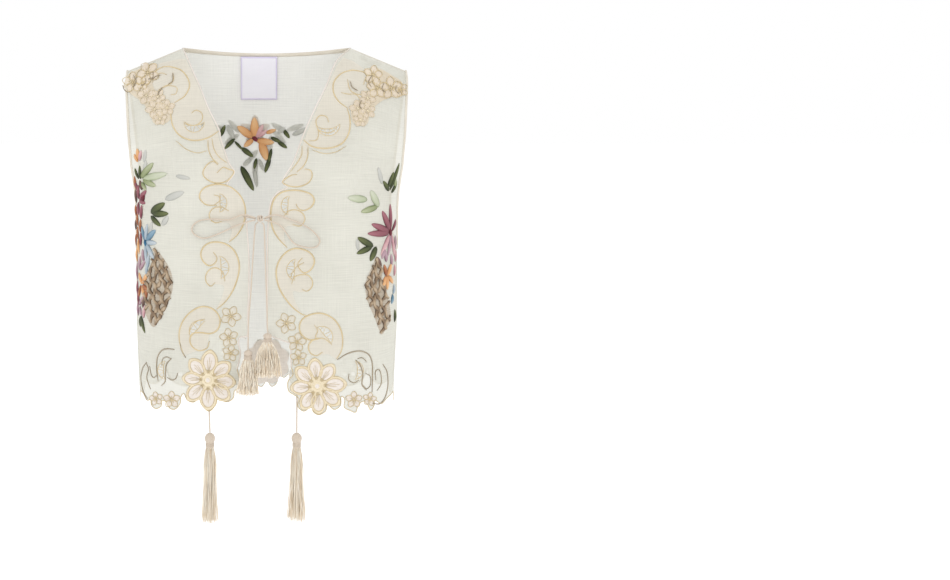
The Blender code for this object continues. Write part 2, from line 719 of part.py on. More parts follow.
def cord(name, points, count):
    """A round cord along a smooth curve."""
    line = rounded(points, count)
    curve = bpy.data.curves.new(name, "CURVE")
    curve.dimensions = "3D"
    curve.bevel_depth = CORD_RADIUS
    curve.bevel_resolution = 2
    curve.use_fill_caps = True
    spline = curve.splines.new("POLY")
    spline.points.add(len(line) - 1)
    for point, at in zip(spline.points, line):
        point.co = (*at, 1)
    made = bpy.data.objects.new(name, curve)
    curve.materials.append(material(name, CORD))
    bpy.context.collection.objects.link(made)
    return made


def knot_exit(towards):
    """The point just off the knot where a cord that runs towards a place leaves it."""
    centre = before_cloth(*KNOT_PX, 0.0048)
    way = (towards - centre).normalized()
    reach = 1 / math.sqrt(sum((part / half) ** 2 for part, half in zip(way, KNOT_HALF)))
    return centre + way * (reach + 2 * SEAM_GAP)


def knot():
    """The tied knot of the bow."""
    centre = before_cloth(*KNOT_PX, 0.0048)
    across, depth, height = KNOT_HALF
    points, faces = [], []
    rows, count = 9, 14
    for j in range(1, rows):
        turn = math.pi * j / rows
        for i in range(count):
            spin = 2 * math.pi * i / count
            ring = Vector((0, depth * math.cos(spin), height * math.sin(spin))) * math.sin(turn)
            points.append(centre + ring - Vector((across * math.cos(turn), 0, 0)))
    points += [centre - Vector((across, 0, 0)), centre + Vector((across, 0, 0))]
    for j in range(rows - 2):
        for i in range(count):
            n = (i + 1) % count
            a, b = j * count, (j + 1) * count
            faces += [(a + i, b + i, b + n), (a + i, b + n, a + n)]
    last = (rows - 2) * count
    for i in range(count):
        n = (i + 1) % count
        faces += [(len(points) - 2, i, n), (len(points) - 1, last + n, last + i)]
    return add_mesh("knot", points, faces, CORD)


def strand_places(radius, count):
    """Places of strands over a disc, in rings."""
    rings = [(0.0, 1), (0.36, 6), (0.64, 10), (0.9, count - 17)]
    made = []
    for share, number in rings:
        for i in range(number):
            turn = 2 * math.pi * (i + share) / number
            made.append((radius * share * math.cos(turn), radius * share * math.sin(turn)))
    return made


def tassel(name, top):
    """A tassel: a wound head, a tied neck and strands that grow out of it."""
    px, py, head_length, head, neck, length, skirt, hem, count = TASSELS[name]
    sides = 14
    profile = [(0.0, 0.32), (0.12, 0.72), (0.34, 1.0), (0.56, 0.96), (0.7, 0.78)]
    rings = [(share * head_length, head * wide) for share, wide in profile]
    rings += [(0.78 * head_length, neck), (head_length, neck * 1.08)]
    points = [top.copy()]
    for drop, radius in rings:
        for i in range(sides):
            turn = 2 * math.pi * i / sides
            points.append(top + Vector((radius * math.cos(turn), radius * math.sin(turn), -drop - 0.0006)))
    faces = [(0, 1 + i, 1 + (i + 1) % sides) for i in range(sides)]
    for j in range(len(rings) - 1):
        a, b = 1 + j * sides, 1 + (j + 1) * sides
        for i in range(sides):
            n = (i + 1) % sides
            faces += [(a + i, b + i, b + n), (a + i, b + n, a + n)]
    floor = -head_length - 0.0006
    rim_start = 1 + (len(rings) - 1) * sides
    flat = [Vector((p - top).xy) for p in points[rim_start : rim_start + sides]]
    places = strand_places(neck * 0.94, count)
    roots = []
    for x, y in places:
        roots.append([len(flat) + k for k in range(3)])
        for k in range(3):
            turn = math.atan2(y, x) + 2 * math.pi * k / 3
            flat.append(Vector((x + STRAND_RADIUS * math.cos(turn), y + STRAND_RADIUS * math.sin(turn))))
    edges = [(i, (i + 1) % sides) for i in range(sides)]
    for root in roots:
        edges += [(root[0], root[1]), (root[1], root[2]), (root[2], root[0])]
    out = delaunay_2d_cdt(flat, edges, [], 0, 1e-9, True)
    ids = {}
    for new, source in enumerate(out[3]):
        ids[new] = source[0]
    root_sets = {frozenset(root) for root in roots}
    index = {i: rim_start + i for i in range(sides)}
    for i in range(sides, len(flat)):
        index[i] = len(points)
        points.append(top + Vector((flat[i].x, flat[i].y, floor)))
    for face in out[2]:
        named = [ids[i] for i in face]
        if frozenset(named) in root_sets:
            continue
        a, b, c = (flat[i] for i in named)
        turned = (b - a).cross(c - a)
        named = named if turned < 0 else named[::-1]
        faces.append(tuple(index[i] for i in named))
    body = length - head_length
    for number, (root, (x, y)) in enumerate(zip(roots, places)):
        turn = math.atan2(y, x)
        share = math.hypot(x, y) / neck
        wave = 0.0009 * math.sin(2.4 * number)
        stops = [
            (skirt * share * 1.04, 0.13, 1.25, 0.0),
            (hem * share, 1 - 0.035 * (number % 3) / 2, 1.35, wave),
        ]
        ring = [index[i] for i in root]
        for radius, down, thick, lean in stops:
            start = len(points)
            for k in range(3):
                angle = turn + 2 * math.pi * k / 3
                points.append(
                    top
                    + Vector(
                        (
                            radius * math.cos(turn) + lean + STRAND_RADIUS * thick * math.cos(angle),
                            radius * math.sin(turn) + STRAND_RADIUS * thick * math.sin(angle),
                            floor - body * down,
                        )
                    )
                )
            fresh = [start + k for k in range(3)]
            for k in range(3):
                n = (k + 1) % 3
                faces += [(ring[k], fresh[k], fresh[n]), (ring[k], fresh[n], ring[n])]
            ring = fresh
        faces.append((ring[0], ring[2], ring[1]))
    return add_mesh(name, points, faces, CORD)


def build():
    """Every piece of the waistcoat."""
    for old in list(bpy.data.objects):
        bpy.data.objects.remove(old, do_unlink=True)
    front_panel("front_left")
    front_panel("front_right")
    back_panel()
    armhole_binding("armhole_binding_left", -1)
    armhole_binding("armhole_binding_right", 1)
    neck_binding()
    label()
    knot()
    on_face = WALL + SEAM_GAP + CORD_RADIUS
    for name, start_px in TIES.items():
        start = before_cloth(*start_px, on_face + 0.0001)
        side = 1 if start_px[0] > KNOT_PX[0] else -1
        end = before_cloth(*KNOT_PX, 0.0048) + Vector((side * TIE_END[0], TIE_END[1], 0))
        cord(name, [start, start.lerp(end, 0.5), end], 3)
    for name, route in LOOPS.items():
        last = len(route) - 1
        near_knot = [0.0022 * max(0.0, 1 - i / 2) + 0.0028 * max(0.0, 1 - (last - i) / 2) for i in range(last + 1)]
        lifted = [before_cloth(*p, 0.0036 + lift) for p, lift in zip(route, near_knot)]
        cord(name, [knot_exit(lifted[0])] + lifted + [knot_exit(lifted[-1])], 19)
    for name, route in FREE_ENDS.items():
        last = len(route) - 1
        lifted = [before_cloth(*p, 0.0044 + 0.0065 * smooth(i / last)) for i, p in enumerate(route)]
        cord(name, [knot_exit(lifted[0])] + lifted, 9)
        tassel(name.replace("bow_end", "tassel_bow"), lifted[-1] - Vector((0, 0, SEAM_GAP)))
    for name, ends in HEM_CORDS.items():
        start = before_cloth(*ends["top"], -CORD_RADIUS - SEAM_GAP)
        inner = start.y + 0.003
        x, z = from_photo(*ends["end"], inner, "front")
        bend = Vector((start.x, inner, start.z - 0.012))
        end = Vector((x, inner, z))
        cord(name, [start, bend, bend.lerp(end, 0.5), end], 7)
        tassel(name.replace("hem_cord", "tassel_hem"), end - Vector((0, 0, SEAM_GAP)))


build()
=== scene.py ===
"""Dressed scene of the sheer embroidered waistcoat.

Metres, +Z up, front towards -Y. The cloth is a flat pattern (across, down) laid on a rounded body form,
and the embroidery is drawn on the same pattern from its places in the photograph.
"""

import math
import random

import bpy
import numpy as np
from mathutils import Matrix, Vector
from mathutils.geometry import delaunay_2d_cdt


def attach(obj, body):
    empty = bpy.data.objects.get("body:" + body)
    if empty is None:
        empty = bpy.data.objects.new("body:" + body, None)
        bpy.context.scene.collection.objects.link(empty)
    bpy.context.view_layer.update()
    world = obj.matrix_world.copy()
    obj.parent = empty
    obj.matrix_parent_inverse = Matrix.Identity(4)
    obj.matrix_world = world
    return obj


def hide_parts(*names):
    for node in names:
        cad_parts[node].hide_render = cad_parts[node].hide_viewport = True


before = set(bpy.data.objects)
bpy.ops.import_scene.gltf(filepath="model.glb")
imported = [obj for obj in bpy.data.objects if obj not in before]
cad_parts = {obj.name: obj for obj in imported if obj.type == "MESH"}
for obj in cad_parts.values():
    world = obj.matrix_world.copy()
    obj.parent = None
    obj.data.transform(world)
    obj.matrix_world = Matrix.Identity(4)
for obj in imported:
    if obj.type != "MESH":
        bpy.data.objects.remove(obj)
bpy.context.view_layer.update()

# How the photograph sees the waistcoat
PIXEL = 0.00137
EYE_DISTANCE = 1.7
EYE_HEIGHT = -0.06
MIDDLE_PX = {"front": 266.7, "back": 706.0}
EYE_PY = {"front": 92.3, "back": 98.8}
FACING = {"front": -1, "back": 1}
FRAME_WIDE = 950
FRAME_HIGH = 580

# Cloth sizes, as in the part
WALL = 0.0012
SEAM_GAP = 0.0003
BINDING_WIDTH = 0.005
CORD_RADIUS = 0.001
LABEL_STAND_OFF = 0.0014

# Body form, as in the part
ROUNDNESS = 2.9
NOMINAL_HALF_WIDTH = 0.18
NOMINAL_DEPTH = 0.105
NECK_HALF_WIDTH = 0.1146
SHOULDER_HALF_WIDTH = 0.192
SHOULDER_DROP = 0.032
BACK_NECK_DEPTH = 0.055
BACK_NECK_DIP = 0.005
HEM_AT_SIDE = 0.456
UNDERARM = 0.2776

# Rows down the body: level below the shoulder line, half width, depth to the front, depth to the back
FORM = [
    (0, 0.2, 0, 0), (0.003, 0.2, 0.012, 0.011), (0.01, 0.2, 0.026, 0.023), (0.022, 0.1995, 0.04, 0.035),
    (0.04, 0.1985, 0.054, 0.046), (0.065, 0.1975, 0.068, 0.057), (0.1, 0.196, 0.083, 0.07),
    (0.15, 0.1905, 0.098, 0.084), (0.2, 0.1812, 0.106, 0.092), (0.25, 0.1762, 0.11, 0.097),
    (0.3, 0.1763, 0.11, 0.099), (0.37, 0.1757, 0.108, 0.099), (0.44, 0.1725, 0.106, 0.098),
    (0.52, 0.169, 0.104, 0.098),
]

# Armhole edge: level, distance of the edge from the side line
ARMHOLE = [
    (0, 0.051), (0.03, 0.0525), (0.065, 0.055), (0.1, 0.057), (0.14, 0.056), (0.18, 0.053), (0.215, 0.047),
    (0.243, 0.036), (0.259, 0.024), (0.268, 0.013), (0.272, 0),
]

# Folds of the part by view: across, half width, depth, top level, bottom level
FOLDS = {
    "front": [
        (-0.15, 0.014, -0.0022, 0.26, 0.5), (0.135, 0.016, -0.0025, 0.24, 0.5),
        (-0.095, 0.012, 0.0014, 0.3, 0.47), (0.1, 0.012, 0.0016, 0.3, 0.47),
    ],
    "back": [
        (-0.02, 0.018, -0.003, 0.16, 0.5), (0.085, 0.016, -0.0028, 0.2, 0.5),
        (-0.115, 0.016, -0.0028, 0.2, 0.5), (0.16, 0.014, 0.002, 0.22, 0.46),
        (-0.175, 0.014, 0.002, 0.22, 0.46),
    ],
}

# Front edges in the photograph, from the neck point down the V, the front edge and along the hem to the side
FRONT_EDGE = {
    "front_left": [
        (188.6, 61), (194, 74), (200, 87), (208.6, 108.6), (218.6, 128.6), (221, 140), (225, 152),
        (229, 163), (234.5, 171.6), (231.5, 178), (227, 185), (234.3, 190), (240, 196), (243.4, 203),
        (245.4, 210), (246, 217), (247.5, 235), (249, 260), (248.8, 290), (247.8, 315), (247.5, 335),
        (240.5, 337), (238.5, 344), (240.5, 352), (239, 362), (237, 369), (239.5, 378), (240, 387),
        (234.5, 391), (233.5, 397.5), (228, 401.5), (221.5, 400), (217.5, 396.5), (216, 404), (209.5, 411),
        (203.5, 406.5), (199.8, 397.5), (194, 402), (187.5, 400), (184, 393.5), (181, 397), (180.5, 403),
        (175.5, 409), (170, 408), (167, 402), (162.5, 400.5), (161.5, 406), (156.5, 408.5), (152, 405),
        (151, 399.5), (147.5, 400), (143.8, 393),
    ],
    "front_right": [
        (339.5, 58), (333.6, 67), (326.4, 85.7), (316.4, 105.7), (307.9, 124.3), (302, 138.6), (298, 150),
        (292.5, 164), (283, 181), (287.5, 187.5), (279.3, 191.4), (273, 198), (270, 206), (269, 216),
        (267.6, 235), (267.5, 265), (267.5, 300), (267.5, 331), (274, 337), (283, 340.5), (290.5, 344),
        (291, 355), (291.5, 368), (293, 374.5), (288, 381), (288.5, 390.5), (294.5, 395), (298.5, 398),
        (298, 406.5), (304, 411), (311, 406.5), (313.5, 412), (319, 414.5), (325.5, 411), (327.5, 404.5),
        (334, 409.5), (340.5, 405), (341, 396.5), (344.5, 399), (344, 407), (350, 410.5), (355.5, 412),
        (358, 405), (363, 401), (367, 404), (370.5, 410), (374, 405), (374.5, 400), (381, 403.5),
        (386.5, 398),
    ],
}

# Half of the back hem in the photograph, from the middle towards its left side
BACK_HEM = [
    (706, 421.5), (700.5, 429.5), (695, 426), (692.5, 417.5), (686.5, 419.5), (680.5, 415.5),
    (679.5, 423.5), (672.5, 427), (667, 421.5), (661.5, 420), (658, 426.5), (650, 429), (643, 425),
    (641, 416), (637, 413.5), (629.5, 420.5), (619, 423.5), (609, 420), (602.5, 413), (598, 401),
    (596, 399.5), (594, 407.5), (589, 411), (584, 407.5), (580.5, 398),
]

# Cutwork crescents by panel: circle centre in the photograph, radius, first angle, last angle, widest
CRESCENTS = {
    "front_left": [
        (194, 117.5, 11.5, 25, 150, 7), (210.5, 203, 13, -45, 45, 7), (209, 268, 16, -48, 42, 8),
        (207, 337, 16, 180, 262, 8), (172, 370, 11, 125, 235, 6),
    ],
    "front_right": [
        (328, 120, 12.5, 20, 150, 7), (297, 206, 12.5, 135, 232, 7), (305, 270, 14.5, 135, 228, 8),
        (315, 343, 16, -82, 0, 8), (349, 370, 11, -58, 58, 6),
    ],
}

# Cutwork eyelets of half of the back hem: centre in the photograph, half width, half height, tilt
EYELETS = [
    (668, 381, 5.5, 3, -35), (657.5, 390, 2.8, 4.6, 10), (646.5, 407.5, 2.6, 2.4, 0),
    (661, 412, 2.4, 2.8, 0), (611, 409.5, 2.6, 3, -20), (620.5, 411, 4, 2.3, -15),
]
SIDE_SCALLOP = [
    (0.039, 0.46), (0.035, 0.4685), (0.028, 0.4745), (0.019, 0.4745), (0.01, 0.468), (0.005, 0.459),
]

LABEL_PX = {"left": 240.7, "right": 277.3, "top": 56.8, "bottom": 99.5}

# Bow, cords and tassels, as in the part
KNOT_PX = (260.0, 218.7)
KNOT_HALF = (0.0056, 0.0036, 0.0046)
TIE_END = (0.00525, 0.0026)
TIES = {
    "tie_left": (243.5, 216.4),
    "tie_right": (271.5, 216.6),
}
LOOPS = {
    "bow_loop_left": [
        (243, 214.8), (228.6, 219.6), (212, 219), (200, 220.6), (193, 225.5), (192.2, 231.5),
        (197.5, 236.4), (206, 238), (220, 233.2), (235, 226.2), (246, 222.4),
    ],
    "bow_loop_right": [
        (276, 214.8), (289, 219), (301, 223.6), (312, 230.5), (319.6, 239.5), (316.6, 246.6), (306, 247.4),
        (294.5, 243.6), (287.6, 235), (282, 227), (275, 222.8),
    ],
}
FREE_ENDS = {
    "bow_end_left": [
        (255.2, 226.5), (253.6, 248), (251.9, 273.6), (250.6, 295), (248.6, 320), (248, 349.4),
    ],
    "bow_end_right": [(264, 226.5), (264.9, 245), (265.6, 269), (266.6, 298), (267.6, 332.4)],
}
HEM_CORDS = {
    "hem_cord_left": {"top": (208.4, 384.0), "end": (209.9, 432.0)},
    "hem_cord_right": {"top": (297.0, 384.0), "end": (296.7, 432.0)},
}

# Tassels: length of head and neck, head radius, neck radius, whole length, skirt radius, hem radius, strands,
# and how many times wider than deep the skirt is
TASSELS = {
    "tassel_bow_left": (0.010, 0.0052, 0.0048, 0.058, 0.0075, 0.0105, 210, 1.35),
    "tassel_bow_right": (0.010, 0.0052, 0.0048, 0.057, 0.0085, 0.0108, 230, 1.65),
    "tassel_hem_left": (0.018, 0.0064, 0.0050, 0.117, 0.0080, 0.0100, 150, 1.0),
    "tassel_hem_right": (0.018, 0.0064, 0.0050, 0.115, 0.0080, 0.0110, 150, 1.0),
}

FORM_TABLE = np.array(FORM)
ARMHOLE_TABLE = np.array(ARMHOLE)


# Body form and photograph


def smooth(t):
    """0 below 0, 1 above 1 and a soft rise between."""
    t = min(1.0, max(0.0, t))
    return t * t * (3 - 2 * t)


def ring_table():
    """Half of the body's section as rows of distance round it, across and depth."""
    turn = np.linspace(0, math.pi / 2, 600)
    across = np.sin(turn) ** (2 / ROUNDNESS)
    depth = np.cos(turn) ** (2 / ROUNDNESS)
    steps = np.hypot(np.diff(across) * NOMINAL_HALF_WIDTH, np.diff(depth) * NOMINAL_DEPTH)
    return np.concatenate([[0], np.cumsum(steps)]), across, depth


ROUND, ACROSS, DEPTH = ring_table()
SIDE = float(ROUND[-1])


def form_at(level, view):
    """Half width and depth of the body at a level."""
    half = float(np.interp(level, FORM_TABLE[:, 0], FORM_TABLE[:, 1]))
    depth = float(np.interp(level, FORM_TABLE[:, 0], FORM_TABLE[:, 2 if view == "front" else 3]))
    return half, depth


def shoulder_height(x, level):
    """How far the slope of the shoulder lowers the cloth."""
    run = (abs(x) - NECK_HALF_WIDTH) / (SHOULDER_HALF_WIDTH - NECK_HALF_WIDTH)
    return -SHOULDER_DROP * max(0.0, run) * (1 - smooth(level / 0.22))


def fold_at(across, level, view):
    """Outward move of the soft folds."""
    move = 0.0
    for middle, half, depth, top, bottom in FOLDS[view]:
        reach = math.exp(-(((across - middle) / half) ** 2))
        move += depth * reach * smooth((level - top) / 0.12) * smooth((bottom + 0.02 - level) / 0.02)
    return move


def place(across, level, view, gap=SEAM_GAP / 2):
    """A point of the cloth's inner face from its place on the pattern."""
    half, depth = form_at(level, view)
    side = 1 if across >= 0 else -1
    x = side * half * float(np.interp(abs(across), ROUND, ACROSS))
    out = depth * float(np.interp(abs(across), ROUND, DEPTH))
    if view == "back":
        nape = BACK_NECK_DEPTH * max(0.0, 1 - (x / NECK_HALF_WIDTH) ** 2) ** 1.2
        out = (out**4 + nape**4) ** 0.25
    out += fold_at(across, level, view)
    return Vector((x, FACING[view] * (gap + out), shoulder_height(x, level) - level))


def outward(across, level, view):
    """Direction out of the cloth at a place on the pattern."""
    step = 0.002
    level = max(level, 0.0005)
    if abs(across) > SIDE - step:
        return Vector((math.copysign(1, across), 0, 0))
    along = place(across + step, level, view) - place(across - step, level, view)
    down = place(across, level + step, view) - place(across, max(0.0, level - step), view)
    normal = along.cross(down).normalized()
    return -normal if normal.y * FACING[view] < 0 else normal


def pattern_from_xz(x, z, view):
    """Pattern place of the cloth at x and z."""
    level = -z
    for _ in range(12):
        level = max(0.0, shoulder_height(x, level) - z)
    half, _ = form_at(level, view)
    share = min(1.0, abs(x) / half)
    return math.copysign(float(np.interp(share, ACROSS, ROUND)), x), level


def from_photo(px, py, depth, view):
    """X and Z of a photograph point at a depth behind the shoulder plane as seen."""
    scale = PIXEL * (EYE_DISTANCE + depth) / EYE_DISTANCE
    return -FACING[view] * (px - MIDDLE_PX[view]) * scale, EYE_HEIGHT - (py - EYE_PY[view]) * scale


def on_pattern(px, py, view):
    """Pattern place of a photograph point on the near cloth."""
    depth = -0.1
    for _ in range(14):
        x, z = from_photo(px, py, depth, view)
        across, level = pattern_from_xz(x, z, view)
        depth = -abs(place(across, level, view).y)
    return across, level


def on_far_pattern(px, py):
    """Pattern place on the back of a point of the front photograph that is seen through the neck."""
    depth = 0.08
    for _ in range(14):
        x, z = from_photo(px, py, depth, "front")
        across, level = pattern_from_xz(x, z, "back")
        depth = abs(place(across, level, "back").y)
    return across, level


def before_cloth(px, py, out):
    """A point in front of the front cloth, moved out by a distance."""
    across, level = on_pattern(px, py, "front")
    x, z = from_photo(px, py, -abs(place(across, level, "front").y) - out, "front")
    across, level = pattern_from_xz(x, z, "front")
    return place(across, level, "front") + Vector((0, -out, 0))


def rounded(points, count):
    """Evenly spread points of one smooth curve through the given points."""
    points = [Vector(p) for p in points]
    fine = []
    padded = [points[0] * 2 - points[1]] + points + [points[-1] * 2 - points[-2]]
    for a, b, c, d in zip(padded, padded[1:], padded[2:], padded[3:]):
        for i in range(12):
            t = i / 12
            curve = (2 * b) + (c - a) * t + (2 * a - 5 * b + 4 * c - d) * t * t
            fine.append(0.5 * (curve + (3 * b - a - 3 * c + d) * t**3))
    fine.append(points[-1])
    rows = np.array([tuple(p) for p in fine])
    along = np.concatenate([[0], np.cumsum(np.linalg.norm(np.diff(rows, axis=0), axis=1))])
    at = np.linspace(0, along[-1], count)
    return [Vector([float(np.interp(t, along, rows[:, k])) for k in range(rows.shape[1])]) for t in at]


# Camera and stage

STAGE_FLOOR = -0.72
CAMERA_SENSOR = 36.0
FLOOR_REACH = 14.0
LIT = (0, 0, -0.25)

# Lights: name, place, size in metres, power in watts
LIGHTS = [
    ("key_light", (-1.3, -2.2, 1.3), 1.2, 9.0),
    ("fill_light", (1.9, -1.5, 0.5), 1.6, 4.0),
    ("back_light", (0.8, 2.0, 1.4), 1.4, 8.0),
]


def make_camera():
    """The photograph's camera: level, at the height of the neck, the garment left of the middle."""
    data = bpy.data.cameras.new("photo_camera")
    data.sensor_width = CAMERA_SENSOR
    data.lens = CAMERA_SENSOR * EYE_DISTANCE / (FRAME_WIDE * PIXEL)
    data.shift_x = (FRAME_WIDE / 2 - MIDDLE_PX["front"]) / FRAME_WIDE
    data.shift_y = -(FRAME_HIGH / 2 - EYE_PY["front"]) / FRAME_WIDE
    camera = bpy.data.objects.new("photo_camera", data)
    camera.location = (0, -EYE_DISTANCE, EYE_HEIGHT)
    camera.rotation_euler = (math.pi / 2, 0, 0)
    bpy.context.collection.objects.link(camera)
    bpy.context.scene.camera = camera


def make_stage():
    """A plain white floor, a white surround and soft studio lights."""
    mesh = bpy.data.meshes.new("floor")
    corners = [(x, y, STAGE_FLOOR) for x, y in ((-1, -1), (1, -1), (1, 1), (-1, 1))]
    mesh.from_pydata([(FLOOR_REACH * x, FLOOR_REACH * y, z) for x, y, z in corners], [], [(0, 1, 2, 3)])
    floor = bpy.data.objects.new("floor", mesh)
    bpy.context.collection.objects.link(floor)
    paint, shader = shader_material("floor_paint", (0.93, 0.93, 0.93), 0.9, 0.0, 0.5)
    shader.inputs["Emission Color"].default_value = (1, 1, 1, 1)
    shader.inputs["Emission Strength"].default_value = 0.18
    mesh.materials.append(paint)
    world = bpy.data.worlds.new("surround")
    world.use_nodes = True
    surround = world.node_tree.nodes["Background"].inputs
    surround["Color"].default_value = (1, 1, 1, 1)
    surround["Strength"].default_value = 1.0
    bpy.context.scene.world = world
    for name, where, size, power in LIGHTS:
        data = bpy.data.lights.new(name, "AREA")
        data.size = size
        data.energy = power
        light = bpy.data.objects.new(name, data)
        light.location = where
        light.rotation_euler = (Vector(LIT) - Vector(where)).to_track_quat("-Z", "Y").to_euler()
        bpy.context.collection.objects.link(light)
    view = bpy.context.scene.view_settings
    view.view_transform = "Standard"
    view.look = "None"


# Materials


def shader_material(name, colour, rough, sheen, specular):
    """A Principled material and its shader node."""
    made = bpy.data.materials.new(name)
    made.use_nodes = True
    shader = made.node_tree.nodes["Principled BSDF"]
    shader.inputs["Base Color"].default_value = (*colour, 1)
    shader.inputs["Roughness"].default_value = rough
    shader.inputs["Sheen Weight"].default_value = sheen
    shader.inputs["Specular IOR Level"].default_value = specular
    return made, shader


def node(tree, kind, **values):
    """A node with its sockets set."""
    made = tree.nodes.new(kind)
    for key, value in values.items():
        made.inputs[key].default_value = value
    return made


def mapped(tree, scale, coordinate="UV"):
    """Texture coordinates times a scale."""
    source = tree.nodes.new("ShaderNodeTexCoord")
    mapping = tree.nodes.new("ShaderNodeMapping")
    mapping.inputs["Scale"].default_value = scale
    tree.links.new(source.outputs[coordinate], mapping.inputs["Vector"])
    return mapping.outputs["Vector"]


def ramp(tree, source, stops):
    """A colour ramp from a value."""
    made = tree.nodes.new("ShaderNodeValToRGB")
    elements = made.color_ramp.elements
    elements[0].position, elements[0].color = stops[0][0], (*stops[0][1], 1)
    elements[1].position, elements[1].color = stops[-1][0], (*stops[-1][1], 1)
    for position, colour in stops[1:-1]:
        elements.new(position).color = (*colour, 1)
    tree.links.new(source, made.inputs["Fac"])
    return made.outputs["Color"]


def noise(tree, scale, detail, coordinate="UV"):
    """Noise over coordinates stretched by a scale."""
    made = node(tree, "ShaderNodeTexNoise", Scale=1.0, Detail=detail)
    tree.links.new(mapped(tree, scale, coordinate), made.inputs["Vector"])
    return made.outputs["Fac"]


def wave(tree, scale, size, distortion):
    """Bands across the UV coordinates."""
    made = node(tree, "ShaderNodeTexWave", Scale=size, Distortion=distortion)
    made.wave_type = "BANDS"
    made.bands_direction = "X"
    tree.links.new(mapped(tree, scale), made.inputs["Vector"])
    return made.outputs["Fac"]


def math_node(tree, operation, a, b):
    """A math node of two values, either of which may be a socket."""
    made = tree.nodes.new("ShaderNodeMath")
    made.operation = operation
    for socket, value in zip(made.inputs, (a, b)):
        if isinstance(value, (int, float)):
            socket.default_value = value
        else:
            tree.links.new(value, socket)
    return made.outputs[0]


def bumped(tree, shader, height, strength, distance):
    """Sends a height into a shader's normal."""
    made = node(tree, "ShaderNodeBump", Strength=strength, Distance=distance)
    tree.links.new(height, made.inputs["Height"])
    tree.links.new(made.outputs["Normal"], shader.inputs["Normal"])


def mixture(tree, a, share_a, b, share_b):
    """Two values, each times its share, added up."""
    parts = [math_node(tree, "MULTIPLY", value, share) for value, share in ((a, share_a), (b, share_b))]
    return math_node(tree, "ADD", *parts)


def painted(tree, shader, tone, stops):
    """Sends a tone through a colour ramp into a shader's colour."""
    tree.links.new(ramp(tree, tone, stops), shader.inputs["Base Color"])


def organza(name, light, dark, low_alpha, high_alpha):
    """Sheer slubbed cloth: uneven threads both ways, thicker slubs across, less cloth between them, and large
    soft blotches of painted shade that stand for the shading of folds.
    """
    made, shader = shader_material(name, light, 0.7, 0.0, 0.15)
    tree = made.node_tree
    slubs = noise(tree, (26, 1000, 1), 3.0)
    warp = noise(tree, (1300, 22, 1), 2.0)
    # Painted shade: large soft blotches spread at random, standing for the shading of folds
    shade_cloud = noise(tree, (13, 13, 1), 4.0)
    threads = mixture(tree, slubs, 0.65, warp, 0.35)
    painted(tree, shader, mixture(tree, threads, 0.34, shade_cloud, 0.66), [(0.36, dark), (0.62, light)])
    cover = math_node(tree, "MULTIPLY", math_node(tree, "SUBTRACT", threads, 0.35), 3.2)
    cover = math_node(tree, "MINIMUM", math_node(tree, "MAXIMUM", cover, 0.0), 1.0)
    spread = math_node(tree, "MULTIPLY", cover, high_alpha - low_alpha)
    tree.links.new(math_node(tree, "ADD", spread, low_alpha), shader.inputs["Alpha"])
    bumped(tree, shader, threads, 0.2, 0.0003)
    return made


def thread_satin(name, light, dark):
    """Satin stitch: fine threads laid side by side across the line, with painted highlight on each thread's
    rounded top and painted shade between threads.
    """
    made, shader = shader_material(name, light, 0.42, 0.3, 0.45)
    tree = made.node_tree
    # Painted highlight and painted shade: bands lighter and darker across each thread
    stitches = wave(tree, (1400, 0.6, 1), 0.5, 1.2)
    tone = noise(tree, (45, 2, 1), 3.0)
    painted(tree, shader, mixture(tree, stitches, 0.35, tone, 0.75), [(0.3, dark), (0.75, light)])
    bumped(tree, shader, stitches, 0.5, 0.0003)
    return made


def ribbon_satin(name, base, tip, shade_tone):
    """Soft silk ribbon: colour that changes from root to tip, streaks along it and painted shade on the
    rolled edges. The tip colour is a painted highlight and the darkest colour a painted shade.
    """
    made, shader = shader_material(name, base, 0.45, 0.0, 0.35)
    tree = made.node_tree
    streaks = noise(tree, (2.0, 9, 1), 3.0)
    blotch = noise(tree, (3, 2, 1), 2.0)
    place_on = tree.nodes.new("ShaderNodeSeparateXYZ")
    source = tree.nodes.new("ShaderNodeTexCoord")
    tree.links.new(source.outputs["UV"], place_on.inputs[0])
    level = math_node(tree, "ADD", place_on.outputs[0], math_node(tree, "MULTIPLY", blotch, 0.5))
    # Painted shade: the colour is darkened towards both edges of the ribbon
    from_middle = math_node(tree, "ABSOLUTE", math_node(tree, "SUBTRACT", place_on.outputs[1], 0.5), 0.0)
    edge = math_node(tree, "POWER", math_node(tree, "MULTIPLY", from_middle, 2.0), 3.0)
    mixed = mixture(tree, level, 0.45, streaks, 0.55)
    mixed = math_node(tree, "SUBTRACT", mixed, math_node(tree, "MULTIPLY", edge, 0.3))
    painted(tree, shader, mixed, [(0.22, shade_tone), (0.48, base), (0.85, tip)])
    bumped(tree, shader, streaks, 0.6, 0.0006)
    return made


def loose_yarn(name, light, dark):
    """Tassel strands, each a little lighter or darker than the next."""
    made, shader = shader_material(name, light, 0.6, 0.0, 0.3)
    tree = made.node_tree
    painted(tree, shader, noise(tree, (420, 420, 5), 2.0, "Object"), [(0.32, dark), (0.62, light)])
    return made


def yarn(name, light, dark):
    """Cotton yarn of the cords and the tassels' heads."""
    made, shader = shader_material(name, light, 0.75, 0.3, 0.2)
    tree = made.node_tree
    fuzz = noise(tree, (60, 900, 1), 3.0)
    painted(tree, shader, fuzz, [(0.3, dark), (0.7, light)])
    bumped(tree, shader, fuzz, 0.4, 0.0002)
    return made


# Meshes


